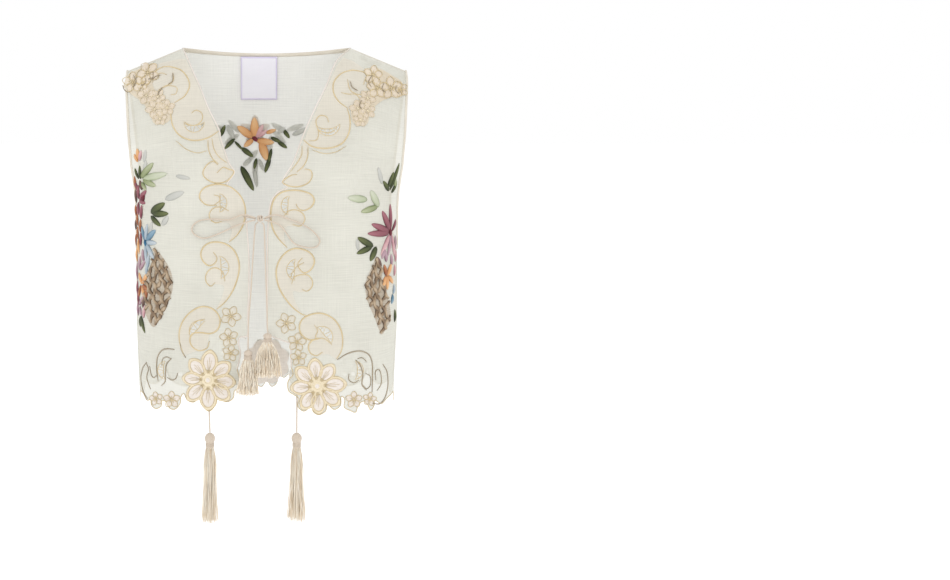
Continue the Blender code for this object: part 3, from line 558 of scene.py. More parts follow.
class Soup:
    """Faces gathered for one piece, with a UV place for each corner."""

    def __init__(self):
        self.points = []
        self.faces = []
        self.uvs = []

    def add(self, points, faces, uvs):
        """Adds a part. uvs has one pair for each point."""
        start = len(self.points)
        self.points += [tuple(p) for p in points]
        for face in faces:
            self.faces.append(tuple(start + i for i in face))
            self.uvs.append([uvs[i] for i in face])

    def build(self, name, material, solid="", slot=""):
        """The gathered faces as an object on the garment, in place of a CAD solid if one is named."""
        mesh = bpy.data.meshes.new(name)
        mesh.from_pydata(self.points, [], self.faces)
        layer = mesh.uv_layers.new(name="pattern")
        layer.data.foreach_set("uv", [value for face in self.uvs for pair in face for value in pair])
        mesh.polygons.foreach_set("use_smooth", [True] * len(mesh.polygons))
        mesh.materials.append(material)
        made = bpy.data.objects.new(name, mesh)
        bpy.context.collection.objects.link(made)
        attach(made, "root")
        if solid:
            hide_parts(solid)
        return made


def quads(rows, sides, turned=False, loop=False, open_sides=False, start=0):
    """Faces between rings of points. turned swaps their outside, loop joins the last ring to the first."""
    faces = []
    for i in range(rows if loop else rows - 1):
        a, b = start + sides * i, start + sides * ((i + 1) % rows)
        for k in range(sides - 1 if open_sides else sides):
            n = (k + 1) % sides
            faces.append((a + k, b + k, b + n, a + n) if turned else (a + k, a + n, b + n, b + k))
    return faces


def tube(soup, line, radius, sides=10, relief=0.0, pitch=0.004):
    """A round tube along a line. relief raises its plies, which turn once in each pitch."""
    count = len(line)
    tangents = [(line[min(i + 1, count - 1)] - line[max(i - 1, 0)]).normalized() for i in range(count)]
    side = tangents[0].orthogonal().normalized()
    points, uvs = [], []
    run = 0.0
    for i, way in enumerate(tangents):
        side = (side - way * side.dot(way)).normalized()
        other = way.cross(side)
        if i:
            run += (line[i] - line[i - 1]).length
        for k in range(sides):
            turn = 2 * math.pi * k / sides
            wrap = turn - 2 * math.pi * run / pitch
            reach = radius * (1 - relief + relief * abs(math.cos(PLIES / 2 * wrap)))
            points.append(line[i] + side * (math.cos(turn) * reach) + other * (math.sin(turn) * reach))
            uvs.append((run, k / sides))
    faces = quads(count, sides)
    faces.append(tuple(range(sides))[::-1])
    faces.append(tuple((count - 1) * sides + k for k in range(sides)))
    soup.add(points, faces, uvs)


# Cloth

SHEET_LIFT = WALL * 0.5
ON_CLOTH = WALL * 0.5 + 0.0001
CLOTH_STEP = 0.0052
SHOULDER_ROWS = (0.0010, 0.0025, 0.0045, 0.0070)
EDGE_STEP = 0.0028
OVERLAY_STEP = 0.0040
SEAM_STEP = 0.006
UNDER_BINDING = BINDING_WIDTH * 0.6
BAND_THICKNESS = 0.0018
LABEL_DEPTH = 0.065
LABEL_THICKNESS = 0.0006

# Cords and tassels, how far the cords stand off the cloth, and the turns of the tassel's strands
PLIES = 3
CORD_PITCH = 0.0052
KNOT_OUT = 0.0048
LOOP_OUT = 0.0036
END_OUT = 0.0044
TASSEL_DROP = 0.0004
NECK_TURNS = 4
GOLDEN_TURN = 2.39996
STRAND_RADIUS = 0.00036

# Stitches and ribbons: steps and heights in metres, and the photograph rows that part the kinds of stitch
LINE_STEP = 0.0013
LINE_RISE = 0.0009
PETALS = 5
CUTWORK_BARS = 5
RIBBON_FOLD = 0.25
RIBBON_RISE = 0.0024
FLAT_RISE = 0.0008
INSIDE_RISE = 0.0009
HEM_STITCH_PY = 366
EDGE_FLOWER_PY = 365
BACK_GOLD_PX = 640

# Small creases of the cloth by view: across, level, half width, half length, tilt in degrees, depth
CREASES = {
    "front": [
        (-0.118, 0.15, 0.005, 0.05, 10, -0.0011), (-0.2, 0.12, 0.006, 0.055, -6, 0.0012),
        (-0.165, 0.235, 0.007, 0.06, 14, -0.001), (-0.075, 0.345, 0.006, 0.06, -8, 0.0009),
        (-0.135, 0.405, 0.006, 0.05, 4, 0.001), (0.12, 0.19, 0.006, 0.06, -9, -0.001),
        (0.175, 0.13, 0.006, 0.065, 5, 0.0012), (0.09, 0.33, 0.007, 0.07, 10, 0.001),
        (0.145, 0.4, 0.006, 0.05, -5, -0.001), (0.195, 0.35, 0.006, 0.07, 3, 0.0009),
    ],
    "back": [
        (-0.06, 0.21, 0.007, 0.08, 9, 0.0011), (0.045, 0.25, 0.006, 0.09, -7, -0.0011),
        (0.12, 0.16, 0.006, 0.06, 12, 0.001), (-0.14, 0.18, 0.007, 0.06, -12, -0.0011),
        (-0.09, 0.39, 0.006, 0.06, 4, 0.001), (0.03, 0.4, 0.007, 0.06, -3, 0.001),
        (0.14, 0.41, 0.006, 0.05, 6, -0.001), (-0.19, 0.33, 0.006, 0.08, -4, 0.001),
    ],
}


def crease_at(across, level, view):
    """Outward move of the small creases, which fade out at the seams."""
    move = 0.0
    for middle, height, wide, long, tilt, depth in CREASES[view]:
        turn = math.radians(tilt)
        dx, dy = across - middle, level - height
        a = dx * math.cos(turn) + dy * math.sin(turn)
        b = -dx * math.sin(turn) + dy * math.cos(turn)
        if abs(a) < 3 * wide and abs(b) < 2.2 * long:
            move += depth * math.exp(-((a / wide) ** 2) - (b / long) ** 2)
    ripple = 0.0004 * math.sin(across * 61 + 1.3 * math.sin(level * 23)) * math.sin(level * 17 + across * 9)
    return (move + ripple) * smooth((SIDE - abs(across)) / 0.03) * smooth(level / 0.04)


def on_cloth(across, level, view, lift):
    """A point that far outside the cloth's inner face."""
    return place(across, level, view) + outward(across, level, view) * (lift + crease_at(across, level, view))


def inside(points, polygon):
    """Which points lie in a polygon."""
    x, y = points[:, 0], points[:, 1]
    found = np.zeros(len(points), bool)
    for (x0, y0), (x1, y1) in zip(polygon, np.roll(polygon, -1, axis=0)):
        if y1 != y0:
            found ^= ((y0 > y) != (y1 > y)) & (x < (x1 - x0) * (y - y0) / (y1 - y0) + x0)
    return found


def distance(points, polygon):
    """Distance of each point from a polygon's edges."""
    best = np.full(len(points), np.inf)
    for a, b in zip(polygon, np.roll(polygon, -1, axis=0)):
        run = b - a
        t = np.clip((points - a) @ run / max(run @ run, 1e-12), 0, 1)
        best = np.minimum(best, np.linalg.norm(points - a - t[:, None] * run, axis=1))
    return best


def filled(points, most):
    """A run of points with more put in where two are far apart."""
    made = []
    for a, b in zip(points[:-1], points[1:]):
        count = max(1, math.ceil(math.dist(a, b) / most))
        made += [tuple(np.add(a, np.subtract(b, a) * i / count)) for i in range(count)]
    return made + [tuple(points[-1])]


def mirrored(flat):
    """A line of the pattern on the other half."""
    return [(-across, level) for across, level in flat]


def thinned(points, least):
    """A loop without points that are nearer than least to the one before."""
    kept = [points[0]]
    for point in points[1:]:
        if math.dist(point, kept[-1]) > least:
            kept.append(point)
    if math.dist(kept[0], kept[-1]) <= least:
        kept.pop()
    return np.array(kept)


def softened(points, step):
    """A smooth flat curve through the points, about step apart."""
    rough = sum(math.dist(a, b) for a, b in zip(points, points[1:]))
    made = rounded([(p[0], p[1], 0) for p in points], max(3, round(rough / step)))
    return [(p[0], p[1]) for p in made]


def crescent(px, py, radius, first, last, widest):
    """A crescent in photograph points."""
    count = 12
    outer, inner = [], []
    for i in range(count + 1):
        share = i / count
        turn = math.radians(first + (last - first) * share)
        half = widest / 2 * math.sin(math.pi * share)
        outer.append((px + (radius + half) * math.cos(turn), py + (radius + half) * math.sin(turn)))
        inner.append((px + (radius - half) * math.cos(turn), py + (radius - half) * math.sin(turn)))
    return outer + inner[-2:0:-1]


def oval(px, py, wide, high, tilt, count=16):
    """An oval in photograph points."""
    turned = math.radians(tilt)
    made = []
    for i in range(count):
        turn = 2 * math.pi * i / count
        x, y = wide * math.cos(turn), high * math.sin(turn)
        cosine, sine = math.cos(turned), math.sin(turned)
        made.append((px + x * cosine - y * sine, py + x * sine + y * cosine))
    return made


def on_turn(px, py, turn, along, wide=0.0):
    """The photograph point so far from a centre along a turn, and so far to the side."""
    x = px + along * math.cos(turn) - wide * math.sin(turn)
    return x, py - along * math.sin(turn) - wide * math.cos(turn)


def armhole_edge(inset):
    """The armhole edge of one half from the underarm to the shoulder, moved in from the edge."""
    rows = ARMHOLE_TABLE
    levels = sorted([*np.linspace(0, 0.215, 24), *np.linspace(0.224, 0.272, 12)], reverse=True)
    made = []
    for level in levels:
        edge = SIDE - float(np.interp(level, rows[:, 0], rows[:, 1]))
        ahead, behind = np.interp([level + 0.006, level - 0.006], rows[:, 0], rows[:, 1])
        run = np.array([behind - ahead, 0.012])
        run = run / np.linalg.norm(run)
        if level == levels[0]:
            made.append((SIDE, level + inset))
        elif level == 0:
            made.append((edge - inset, 0.0))
        else:
            made.append((edge - inset * run[1], level + inset * run[0]))
    return made


def neck_half():
    """How far the neck point is across the pattern."""
    return float(np.interp(NECK_HALF_WIDTH / FORM_TABLE[0, 1], ACROSS, ROUND))


def front_edge_line(name):
    """The free edge of a front on the pattern: the V, the front edge and the scalloped hem to the side."""
    side = -1 if name == "front_left" else 1
    edge = [(side * neck_half(), 0.0)] + [on_pattern(*p, "front") for p in FRONT_EDGE[name]]
    edge += [(side * (SIDE - back_off), level) for back_off, level in SIDE_SCALLOP]
    return edge + [(side * SIDE, HEM_AT_SIDE)]


def back_hem_line():
    """The back's scalloped hem on the pattern, from the middle to one side."""
    hem = [on_pattern(*p, "back") for p in BACK_HEM]
    return hem + [(SIDE - back_off, level) for back_off, level in SIDE_SCALLOP] + [(SIDE, HEM_AT_SIDE)]


def cut_cloth(outline, holes, spacing, top_rows=()):
    """Flat points and triangles that fill an outline and leave its holes open."""
    loops = [np.array(outline)] + [np.array(h) for h in holes]
    low, high = loops[0].min(axis=0), loops[0].max(axis=0)
    grid = []
    for row, level in enumerate(np.arange(low[1] + spacing * 0.3, high[1], spacing * 0.87)):
        for across in np.arange(low[0] + spacing * (0.25 + 0.5 * (row % 2)), high[0], spacing):
            grid.append((across, level))
    for level in top_rows:
        grid += [(across, level) for across in np.arange(low[0], high[0], spacing)]
    grid = np.array(grid)
    keep = inside(grid, loops[0]) & (distance(grid, loops[0]) > spacing * 0.3)
    for hole in loops[1:]:
        keep &= ~inside(grid, hole) & (distance(grid, hole) > spacing * 0.3)
    points, edges = [], []
    for loop in loops:
        start = len(points)
        points += [tuple(p) for p in loop]
        edges += [(start + i, start + (i + 1) % len(loop)) for i in range(len(loop))]
    points += [tuple(p) for p in grid[keep]]
    out = delaunay_2d_cdt([Vector(p) for p in points], edges, [], 0, 1e-7, True)
    flat = np.array([tuple(p) for p in out[0]])
    middles = np.array([flat[list(f)].mean(axis=0) for f in out[2]])
    kept = inside(middles, loops[0])
    for hole in loops[1:]:
        kept &= ~inside(middles, hole)
    faces = [tuple(f) for f, ok in zip(out[2], kept) if ok]
    used = sorted({i for f in faces for i in f})
    index = {old: new for new, old in enumerate(used)}
    return flat[used], [tuple(index[i] for i in f) for f in faces]


def cutwork(name):
    """The cutwork holes of a panel on the pattern."""
    if name == "back":
        half = [[on_pattern(*p, "back") for p in oval(*row)] for row in EYELETS]
        return [hole for right in half for hole in (right, [(-across, level) for across, level in right])]
    return [[on_pattern(*p, "front") for p in crescent(*row)] for row in CRESCENTS[name]]


def lay_cloth(soup, view, outline, holes, spacing, lift, top_rows=()):
    """Thin cloth over the body inside an outline, open at its holes."""
    places, faces = cut_cloth(outline, holes, spacing, top_rows)
    if view == "front":
        faces = [f[::-1] for f in faces]
    soup.add([on_cloth(*p, view, lift) for p in places], faces, [tuple(p) for p in places])


def shell(name, view, outline, material):
    """One cut piece of cloth as a thin shell with its cutwork holes."""
    soup = Soup()
    lay_cloth(soup, view, thinned(outline, 0.0005), cutwork(name), CLOTH_STEP, SHEET_LIFT, SHOULDER_ROWS)
    made = soup.build("cloth_" + name, material, name, "cloth")


def overlay(soup, name, view, loop_px, lift):
    """A piece of sheer cloth laid on a panel inside a line of photograph points. The cutwork stays open."""
    loop = softened([on_pattern(*p, view) for p in loop_px + loop_px[:1]], EDGE_STEP)[:-1]
    holes = [h for h in cutwork(name) if name != "back" and inside(np.array(h), np.array(loop)).any()]
    lay_cloth(soup, view, loop, holes, OVERLAY_STEP, lift)


def front_shell(name, material):
    """One front."""
    side = -1 if name == "front_left" else 1
    edge = softened(front_edge_line(name), EDGE_STEP)
    seam = filled([(side * SIDE, HEM_AT_SIDE), (side * SIDE, UNDERARM - 0.002)], SEAM_STEP)
    armhole = [(side * across, level) for across, level in armhole_edge(UNDER_BINDING)][1:]
    shoulder = filled([armhole[-1], (side * neck_half(), 0.0)], SEAM_STEP)
    shell(name, "front", edge + seam[1:] + armhole + shoulder[1:-1], material)


def back_shell(material):
    """The back."""
    half = softened(back_hem_line(), EDGE_STEP)
    half += filled([(SIDE, HEM_AT_SIDE), (SIDE, UNDERARM - 0.002)], SEAM_STEP)[1:]
    half += armhole_edge(UNDER_BINDING)[1:]
    neck = neck_half()
    half += filled([half[-1], (neck, 0.0015)], SEAM_STEP)[1:]
    spread = np.linspace(neck - 0.003, 0.003 - neck, 50)
    top = [(a, BACK_NECK_DIP * (1 - (a / neck) ** 2) + 0.003) for a in spread]
    shell("back", "back", half + top + mirrored(half[::-1])[:-1], material)


def band(soup, stations, closed):
    """A rounded band from stations of (near place, far place, out direction)."""
    profile = [(0.0, 0.15), (0.0, 0.7), (0.12, 1.0), (0.5, 1.12)]
    profile += [(0.88, 1.0), (1.0, 0.7), (1.0, 0.15), (0.5, 0.0)]
    count, sides = len(stations), len(profile)
    points, uvs = [], []
    run = 0.0
    for i, (near, far, out) in enumerate(stations):
        if i:
            run += (near - stations[i - 1][0]).length
        for share, height in profile:
            points.append(near.lerp(far, share) + out * (BAND_THICKNESS * height))
            uvs.append((run, share * BINDING_WIDTH))
    faces = quads(count, sides, turned=True, loop=closed)
    if not closed:
        faces += [tuple(range(sides)), tuple(sides * count - 1 - k for k in range(sides))]
    soup.add(points, faces, uvs)


def seam_normal(across, level, view):
    """The outward direction, flat on the seams."""
    if abs(across) > SIDE - 1e-6:
        return Vector((math.copysign(1, across), 0, 0))
    normal = outward(across, level, view)
    if level < 1e-6:
        return Vector((normal.x, 0, max(normal.z, 0.2))).normalized()
    return normal


def armhole_band(name, side, material):
    """The binding round one armhole."""
    far, near = armhole_edge(0.0), armhole_edge(BINDING_WIDTH)
    stations = []
    for view in ("front", "back"):
        rows = list(zip(near, far))
        rows = rows if view == "front" else rows[::-1][1:-1]
        for (across_in, level_in), (across_out, level_out) in rows:
            gap = 0.0 if level_out == 0 or across_out == SIDE else SEAM_GAP / 2
            a = place(side * across_in, level_in, view, gap)
            b = place(side * across_out, level_out, view, gap)
            stations.append((a, b, seam_normal(side * across_out, level_out, view)))
    soup = Soup()
    band(soup, stations, True)
    soup.build("trim_" + name, material, name, "edging")


def neck_band(material):
    """The binding on the back neck."""
    neck = neck_half()
    stations = []
    for across in np.linspace(0.0005 - neck, neck - 0.0005, 61):
        level = BACK_NECK_DIP * (1 - (across / neck) ** 2)
        near = place(across, level + BINDING_WIDTH, "back")
        far = place(across, level, "back")
        stations.append((near, far, outward(across, level + BINDING_WIDTH, "back")))
    soup = Soup()
    band(soup, stations, False)
    soup.build("trim_neck_binding", material, "neck_binding", "edging")


def bare_label(material, edge_material):
    """The label inside the back neck, left bare, with a narrow woven edge."""
    count = 24
    row = count + 1
    outer, inner, uvs = [], [], []
    for j in range(row):
        for i in range(row):
            px = LABEL_PX["left"] + (LABEL_PX["right"] - LABEL_PX["left"]) * i / count
            py = LABEL_PX["top"] + (LABEL_PX["bottom"] - LABEL_PX["top"]) * j / count
            across, level = pattern_from_xz(*from_photo(px, py, LABEL_DEPTH, "front"), "back")
            sway = 0.0005 * math.sin(3.1 * j / count) * math.sin(2.5 * i / count)
            point = place(across, level, "back") - outward(across, level, "back") * (LABEL_STAND_OFF + sway)
            outer.append(point)
            inner.append(point - outward(across, level, "back") * LABEL_THICKNESS)
            uvs.append((i / count * 0.05, j / count * 0.06))
    total = row * row
    faces = []
    at_edge = []
    for j in range(count):
        for i in range(count):
            a = j * row + i
            b, c, d = a + 1, a + row + 1, a + row
            faces += [(a, b, c, d), (a + total, d + total, c + total, b + total)]
            at_edge += [min(i, j, count - 1 - i, count - 1 - j) == 0] * 2
    rim = list(range(count)) + [count + row * j for j in range(count)]
    rim += [total - 1 - i for i in range(count)] + [row * (count - j) for j in range(count)]
    for a, b in zip(rim, rim[1:] + rim[:1]):
        faces.append((a, a + total, b + total, b))
        at_edge.append(True)
    soup = Soup()
    soup.add(outer + inner, faces, uvs + uvs)
    made = soup.build("woven_label", material, "label", "label_cloth")
    made.data.materials.append(edge_material)
    made.data.polygons.foreach_set("material_index", [int(edge) for edge in at_edge])


# Cords, knot and tassels


def cord_tube(name, line, material, **facts):
    """A plied cord of the bow or the hem as a tube that replaces its CAD solid."""
    soup = Soup()
    tube(soup, line, CORD_RADIUS, 12, relief=0.2, pitch=CORD_PITCH)
    made = soup.build("yarn_" + name, material, name, "cord")


def knot_exit(towards):
    """Where a cord that runs towards a place leaves the knot."""
    centre = before_cloth(*KNOT_PX, KNOT_OUT)
    way = (towards - centre).normalized()
    reach = 1 / math.sqrt(sum((part / half) ** 2 for part, half in zip(way, KNOT_HALF)))
    return centre + way * (reach + 2 * SEAM_GAP)


def knot(material):
    """The knot of the bow: cord wound round itself."""
    centre = before_cloth(*KNOT_PX, KNOT_OUT)
    wide, deep, high = KNOT_HALF
    soup = Soup()
    for tilt, turns, reach in ((12, 2.6, 0.0036), (-24, 2.2, 0.0030)):
        line = []
        for i in range(90):
            share = i / 89
            turn = 2 * math.pi * turns * share
            x = reach * (2 * share - 1)
            size = math.sqrt(max(0.15, 1 - (x / wide) ** 2))
            at = Vector((x, (deep - 0.001) * size * math.cos(turn), (high - 0.001) * size * math.sin(turn)))
            line.append(centre + Matrix.Rotation(math.radians(tilt), 3, "Y") @ at)
        tube(soup, line, CORD_RADIUS * 0.95, 10, relief=0.2, pitch=CORD_PITCH)
    soup.build("yarn_knot", material, "knot", "cord")


def tassel_head(name, top, material):
    """The head of drawn-over yarn with its wound neck."""
    head_length, head, neck = TASSELS[name][:3]
    sides = 48
    profile = [(0.0, 0.12), (0.05, 0.42), (0.14, 0.74), (0.3, 0.98), (0.45, 1.0), (0.6, 0.9), (0.7, 0.76)]
    rings = [(share * head_length, head * wide) for share, wide in profile]
    rings += [(0.8 * head_length, neck * 0.92), (head_length, neck * 1.02), (head_length * 1.12, neck * 0.9)]
    points, uvs = [], []
    for drop, radius in rings:
        for i in range(sides):
            turn = 2 * math.pi * i / sides
            reach = radius * (1 + 0.045 * math.cos(12 * turn))
            points.append(top + Vector((reach * math.cos(turn), reach * math.sin(turn), -drop - TASSEL_DROP)))
            uvs.append((drop, i / sides))
    faces = quads(len(rings), sides, turned=True)
    faces += [tuple(range(sides)), tuple(len(points) - 1 - i for i in range(sides))]
    soup = Soup()
    soup.add(points, faces, uvs)
    winding = []
    for i in range(NECK_TURNS * 20 + 1):
        turn = 2 * math.pi * i / 20
        drop = head_length * 0.76 + 0.0011 * i / 20
        winding.append(top + Vector((neck * math.cos(turn), neck * math.sin(turn), -drop)))
    tube(soup, winding, 0.0006, 6, relief=0.15, pitch=0.002)
    return soup.build("tassel_head_" + name.replace("tassel_", ""), material, name, "cord")


def tassel(name, top, material, head_material):
    """A tassel with its head and loose strands. Returns the head piece."""
    head_length, _, neck, length, skirt, hem, count, broad = TASSELS[name]
    draw = random.Random(len(name) * 7 + int(length * 1000))
    head_piece = tassel_head(name, top, head_material)
    strands = Soup()
    body = length - head_length
    root = neck * 0.95
    for number in range(count):
        share = math.sqrt((number + 0.5) / count)
        turn = number * GOLDEN_TURN
        ends = 1 - 0.06 * draw.random() - 0.02 * share
        lean = draw.uniform(-0.0016, 0.0016)
        wave_size = draw.uniform(0.0002, 0.0007) * (2.2 if broad > 1 else 1.0)
        phase = draw.uniform(0, 6.28)
        line = []
        for i in range(9):
            along = i / 8
            spread = root + (skirt - root) * smooth(along / 0.2) + (hem - skirt) * smooth((along - 0.2) / 0.8)
            radius = spread * share * (1 + 0.03 * math.sin(phase + 4 * along))
            sway = lean * along * along + wave_size * math.sin(phase + 7 * along) * min(1, 3 * along)
            x = radius * math.cos(turn) * (1 + (broad - 1) * smooth(along / 0.5)) + sway
            drop = head_length + TASSEL_DROP + body * ends * along
            line.append(top + Vector((x, radius * math.sin(turn) + sway * 0.5, -drop)))
        tube(strands, line, STRAND_RADIUS, 4)
    strands.build("tassel_strands_" + name.replace("tassel_", ""), material, name, "cord")
    return head_piece


# Embroidery


def pattern_line(view, points_px):
    """A smooth line on the pattern through photograph points."""
    return softened([on_pattern(*p, view) for p in points_px], LINE_STEP)


def ridge(soup, view, flat_line, width, height, lift=ON_CLOTH, ends=0.55, closed=False, ribbon_tone=None):
    """A padded line of stitches along a line on the pattern. width may be a function of the share."""
    count = len(flat_line)
    centres = [on_cloth(a, l, view, lift) for a, l in flat_line]
    normals = [outward(a, l, view) for a, l in flat_line]
    profile = [(-1.0, 0.0), (-0.72, 0.62), (-0.3, 1.0), (0.3, 1.0), (0.72, 0.62), (1.0, 0.0)]
    points, uvs = [], []
    run = 0.0
    for i in range(count):
        if closed:
            ahead, behind = centres[(i + 1) % count], centres[i - 1]
        else:
            ahead, behind = centres[min(i + 1, count - 1)], centres[max(i - 1, 0)]
        side = normals[i].cross((ahead - behind).normalized()).normalized()
        share = i / (count - 1)
        half = (width(share) if callable(width) else width) / 2
        if not closed:
            half *= min(1.0, ends + (1 - ends) * 6 * min(share, 1 - share))
        if i:
            run += (centres[i] - centres[i - 1]).length
        for t, h in profile:
            points.append(centres[i] + side * (t * half) + normals[i] * (h * height))
            if ribbon_tone is None:
                uvs.append((run, t * half))
            else:
                uvs.append((0.45 + 0.45 * math.sin(run / 0.0032 + ribbon_tone), (t + 1) / 2))
    sides = len(profile)
    faces = quads(count, sides, loop=closed)
    if not closed:
        faces += [tuple(range(sides))[::-1], tuple(sides * (count - 1) + k for k in range(sides))]
    soup.add(points, faces, uvs)


def patch(soup, view, centre, reach, turn, rings=4, count=18, lift=ON_CLOTH, dome=0.0006):
    """A slightly domed oval of sheer cloth. centre and reach are on the pattern, turn in radians."""
    flat = [(*centre, 1.0)]
    for j in range(1, rings + 1):
        for i in range(count):
            spin = 2 * math.pi * i / count
            x, y = reach[0] * j / rings * math.cos(spin), reach[1] * j / rings * math.sin(spin)
            across = centre[0] + x * math.cos(turn) - y * math.sin(turn)
            flat.append((across, centre[1] + x * math.sin(turn) + y * math.cos(turn), 1 - (j / rings) ** 2))
    points = [on_cloth(across, level, view, lift + dome * rise) for across, level, rise in flat]
    faces = [(0, 1 + i, 1 + (i + 1) % count) for i in range(count)]
    faces += quads(rings, count, turned=True, start=1)
    soup.add(points, faces, [(across, level) for across, level, _ in flat])


def ray(soup, view, px, py, turn, reaches, step, width, lift):
    """A thread from a flower's centre outwards."""
    flat = [on_pattern(*on_turn(px, py, turn, reach), view) for reach in reaches]
    ridge(soup, view, softened(flat, step), width, 0.0004, lift)


def big_flower(stitch, outline, sheer, view, px, py, tips, lift):
    """A hem flower with broad satin petals round sheer middles. tips has the turn and length of each."""
    centre = on_pattern(px, py, view)
    patch(stitch, view, centre, (0.0118, 0.0118), 0, lift=lift + 0.0002, dome=0.0013)
    profile = [(0.0, 0.0), (0.12, 0.7), (0.35, 1.0), (0.7, 0.9), (0.92, 0.5), (1.0, 0.05)]
    count = 30
    for degrees, length in tips:
        turn = math.radians(degrees)
        outer, inner = [], []
        for i in range(count):
            spin = 2 * math.pi * i / count
            along = 0.58 - 0.42 * math.cos(spin)
            wide = 0.28 * math.sin(spin) * (0.62 + 0.38 * math.sin(math.pi * min(1, along * 0.94) ** 1.6))
            between = (0.60 - 0.30 * math.cos(spin)) * length
            outer.append(on_pattern(*on_turn(px, py, turn, along * length, wide * length), view))
            inner.append(on_pattern(*on_turn(px, py, turn, between, 0.205 * math.sin(spin) * length), view))
        points, uvs = [], []
        run = 0.0
        for i, (a, b) in enumerate(zip(outer, inner)):
            if i:
                run += math.dist(a, outer[i - 1])
            for share, rise in profile:
                across = a[0] + (b[0] - a[0]) * share
                level = a[1] + (b[1] - a[1]) * share
                points.append(on_cloth(across, level, view, lift + 0.0011 * rise))
                uvs.append((run, share * 0.004))
        stitch.add(points, quads(count, len(profile), turned=True, loop=True, open_sides=True), uvs)
        ridge(outline, view, outer, 0.0009, 0.0006, lift + 0.0001, closed=True)
        ridge(outline, view, inner, 0.0008, 0.0005, lift + 0.0005, closed=True)
        middle = on_pattern(*on_turn(px, py, turn, 0.63 * length), view)
        reach = (0.32 * length * PIXEL, 0.22 * length * PIXEL)
        patch(sheer, view, middle, reach, FACING[view] * turn, lift=lift + 0.0002)
        for fan in (-0.10, 0.0, 0.10):
            reaches = (0.40 * length, 0.55 * length, (0.76 - abs(fan)) * length)
            ray(outline, view, px, py, turn + fan, reaches, 0.0016, 0.0005, lift + 0.0008)
        for fan in (-0.16, -0.05, 0.06, 0.17):
            reaches = (0.22 * length, 0.32 * length, (0.46 - abs(fan)) * length)
            ray(outline, view, px, py, turn + fan, reaches, 0.0016, 0.0008, lift + 0.0011)
    ring = [on_pattern(*p, view) for p in oval(px, py, 3.6, 3.6, 0, 20)]
    ridge(stitch, view, ring, 0.0016, 0.0009, lift + 0.0008, closed=True)
    patch(sheer, view, centre, (0.0040, 0.0040), 0, rings=3, lift=lift + 0.0009, dome=0.0012)


def small_flower(stitch, sheer, view, px, py, radius, first, width=0.0008, lift=ON_CLOTH, rise=0.0007):
    """A small appliqued flower: petals with a thin satin edge round a centre knot."""
    for k in range(PETALS):
        turn = math.radians(first + 360 * k / PETALS)
        loop = []
        for i in range(16):
            spin = 2 * math.pi * i / 16
            along = (0.57 - 0.43 * math.cos(spin)) * radius
            wide = 0.36 * math.sin(spin) * (0.7 + 0.3 * math.sin(math.pi * along / radius)) * radius
            loop.append(on_pattern(*on_turn(px, py, turn, along, wide), view))
        ridge(stitch, view, loop, width, 0.0006, lift + 0.0003, closed=True)
        middle = on_pattern(*on_turn(px, py, turn, 0.57 * radius), view)
        reach = (0.42 * radius * PIXEL, 0.34 * radius * PIXEL)
        patch(sheer, view, middle, reach, FACING[view] * turn, 3, 12, lift, rise)
        ray(stitch, view, px, py, turn, (0.1, 0.25 * radius, 0.5 * radius), 0.0015, 0.0007, lift + 0.0006)
    patch(stitch, view, on_pattern(px, py, view), (0.0014, 0.0014), 0, 2, 10, lift + 0.0006, 0.0012)


def ribbon(soup, side, root, tip, width, rise):
    """One ribbon stitch from root to tip, photograph points, gathered at both ends and puffed between."""
    inner = side == "inside"
    view = "back" if inner else side
    a, b = [on_far_pattern(*p) if inner else on_pattern(*p, view) for p in (root, tip)]
    sign = -1 if inner else 1
    along = np.subtract(b, a)
    perp = np.array([-along[1], along[0]]) / float(np.linalg.norm(along))
    half = width * PIXEL / 2
    rows, columns = 11, 7
    top, low, uvs = [], [], []
    for i in range(rows):
        u = i / (rows - 1)
        bow = math.sin(math.pi * u)
        wide = half * (0.16 + 0.84 * math.sin(math.pi * min(1.0, u**0.85)) ** 0.62)
        for k in range(columns):
            v = 2 * k / (columns - 1) - 1
            across, level = [float(value) for value in np.add(a, along * u) + perp * (wide * v)]
            crease = RIBBON_FOLD * math.exp(-((v / 0.22) ** 2)) * bow
            edge = 0.0002 + max(0.0, rise * bow**0.7 * (1 - 0.75 * v * v) - rise * crease)
            top.append(on_cloth(across, level, view, sign * (ON_CLOTH + edge)))
            low.append(on_cloth(across, level, view, sign * (ON_CLOTH + edge * 0.35)))
            uvs.append((u, (v + 1) / 2))
    total = rows * columns
    faces = []
    for i in range(rows - 1):
        for k in range(columns - 1):
            p = i * columns + k
            q = p + columns
            faces += [(p, q, q + 1, p + 1), (p + total, p + 1 + total, q + 1 + total, q + total)]
    for i in range(rows - 1):
        start, end = i * columns, (i + 1) * columns
        for p, q in ((start, end), (end + columns - 1, start + columns - 1)):
            faces.append((p, p + total, q + total, q))
    for k in range(columns - 1):
        first, last = k, (rows - 1) * columns + k
        faces.append((first + 1, first + 1 + total, first + total, first))
        faces.append((last, last + total, last + 1 + total, last + 1))
    soup.add(top + low, faces, uvs + uvs)


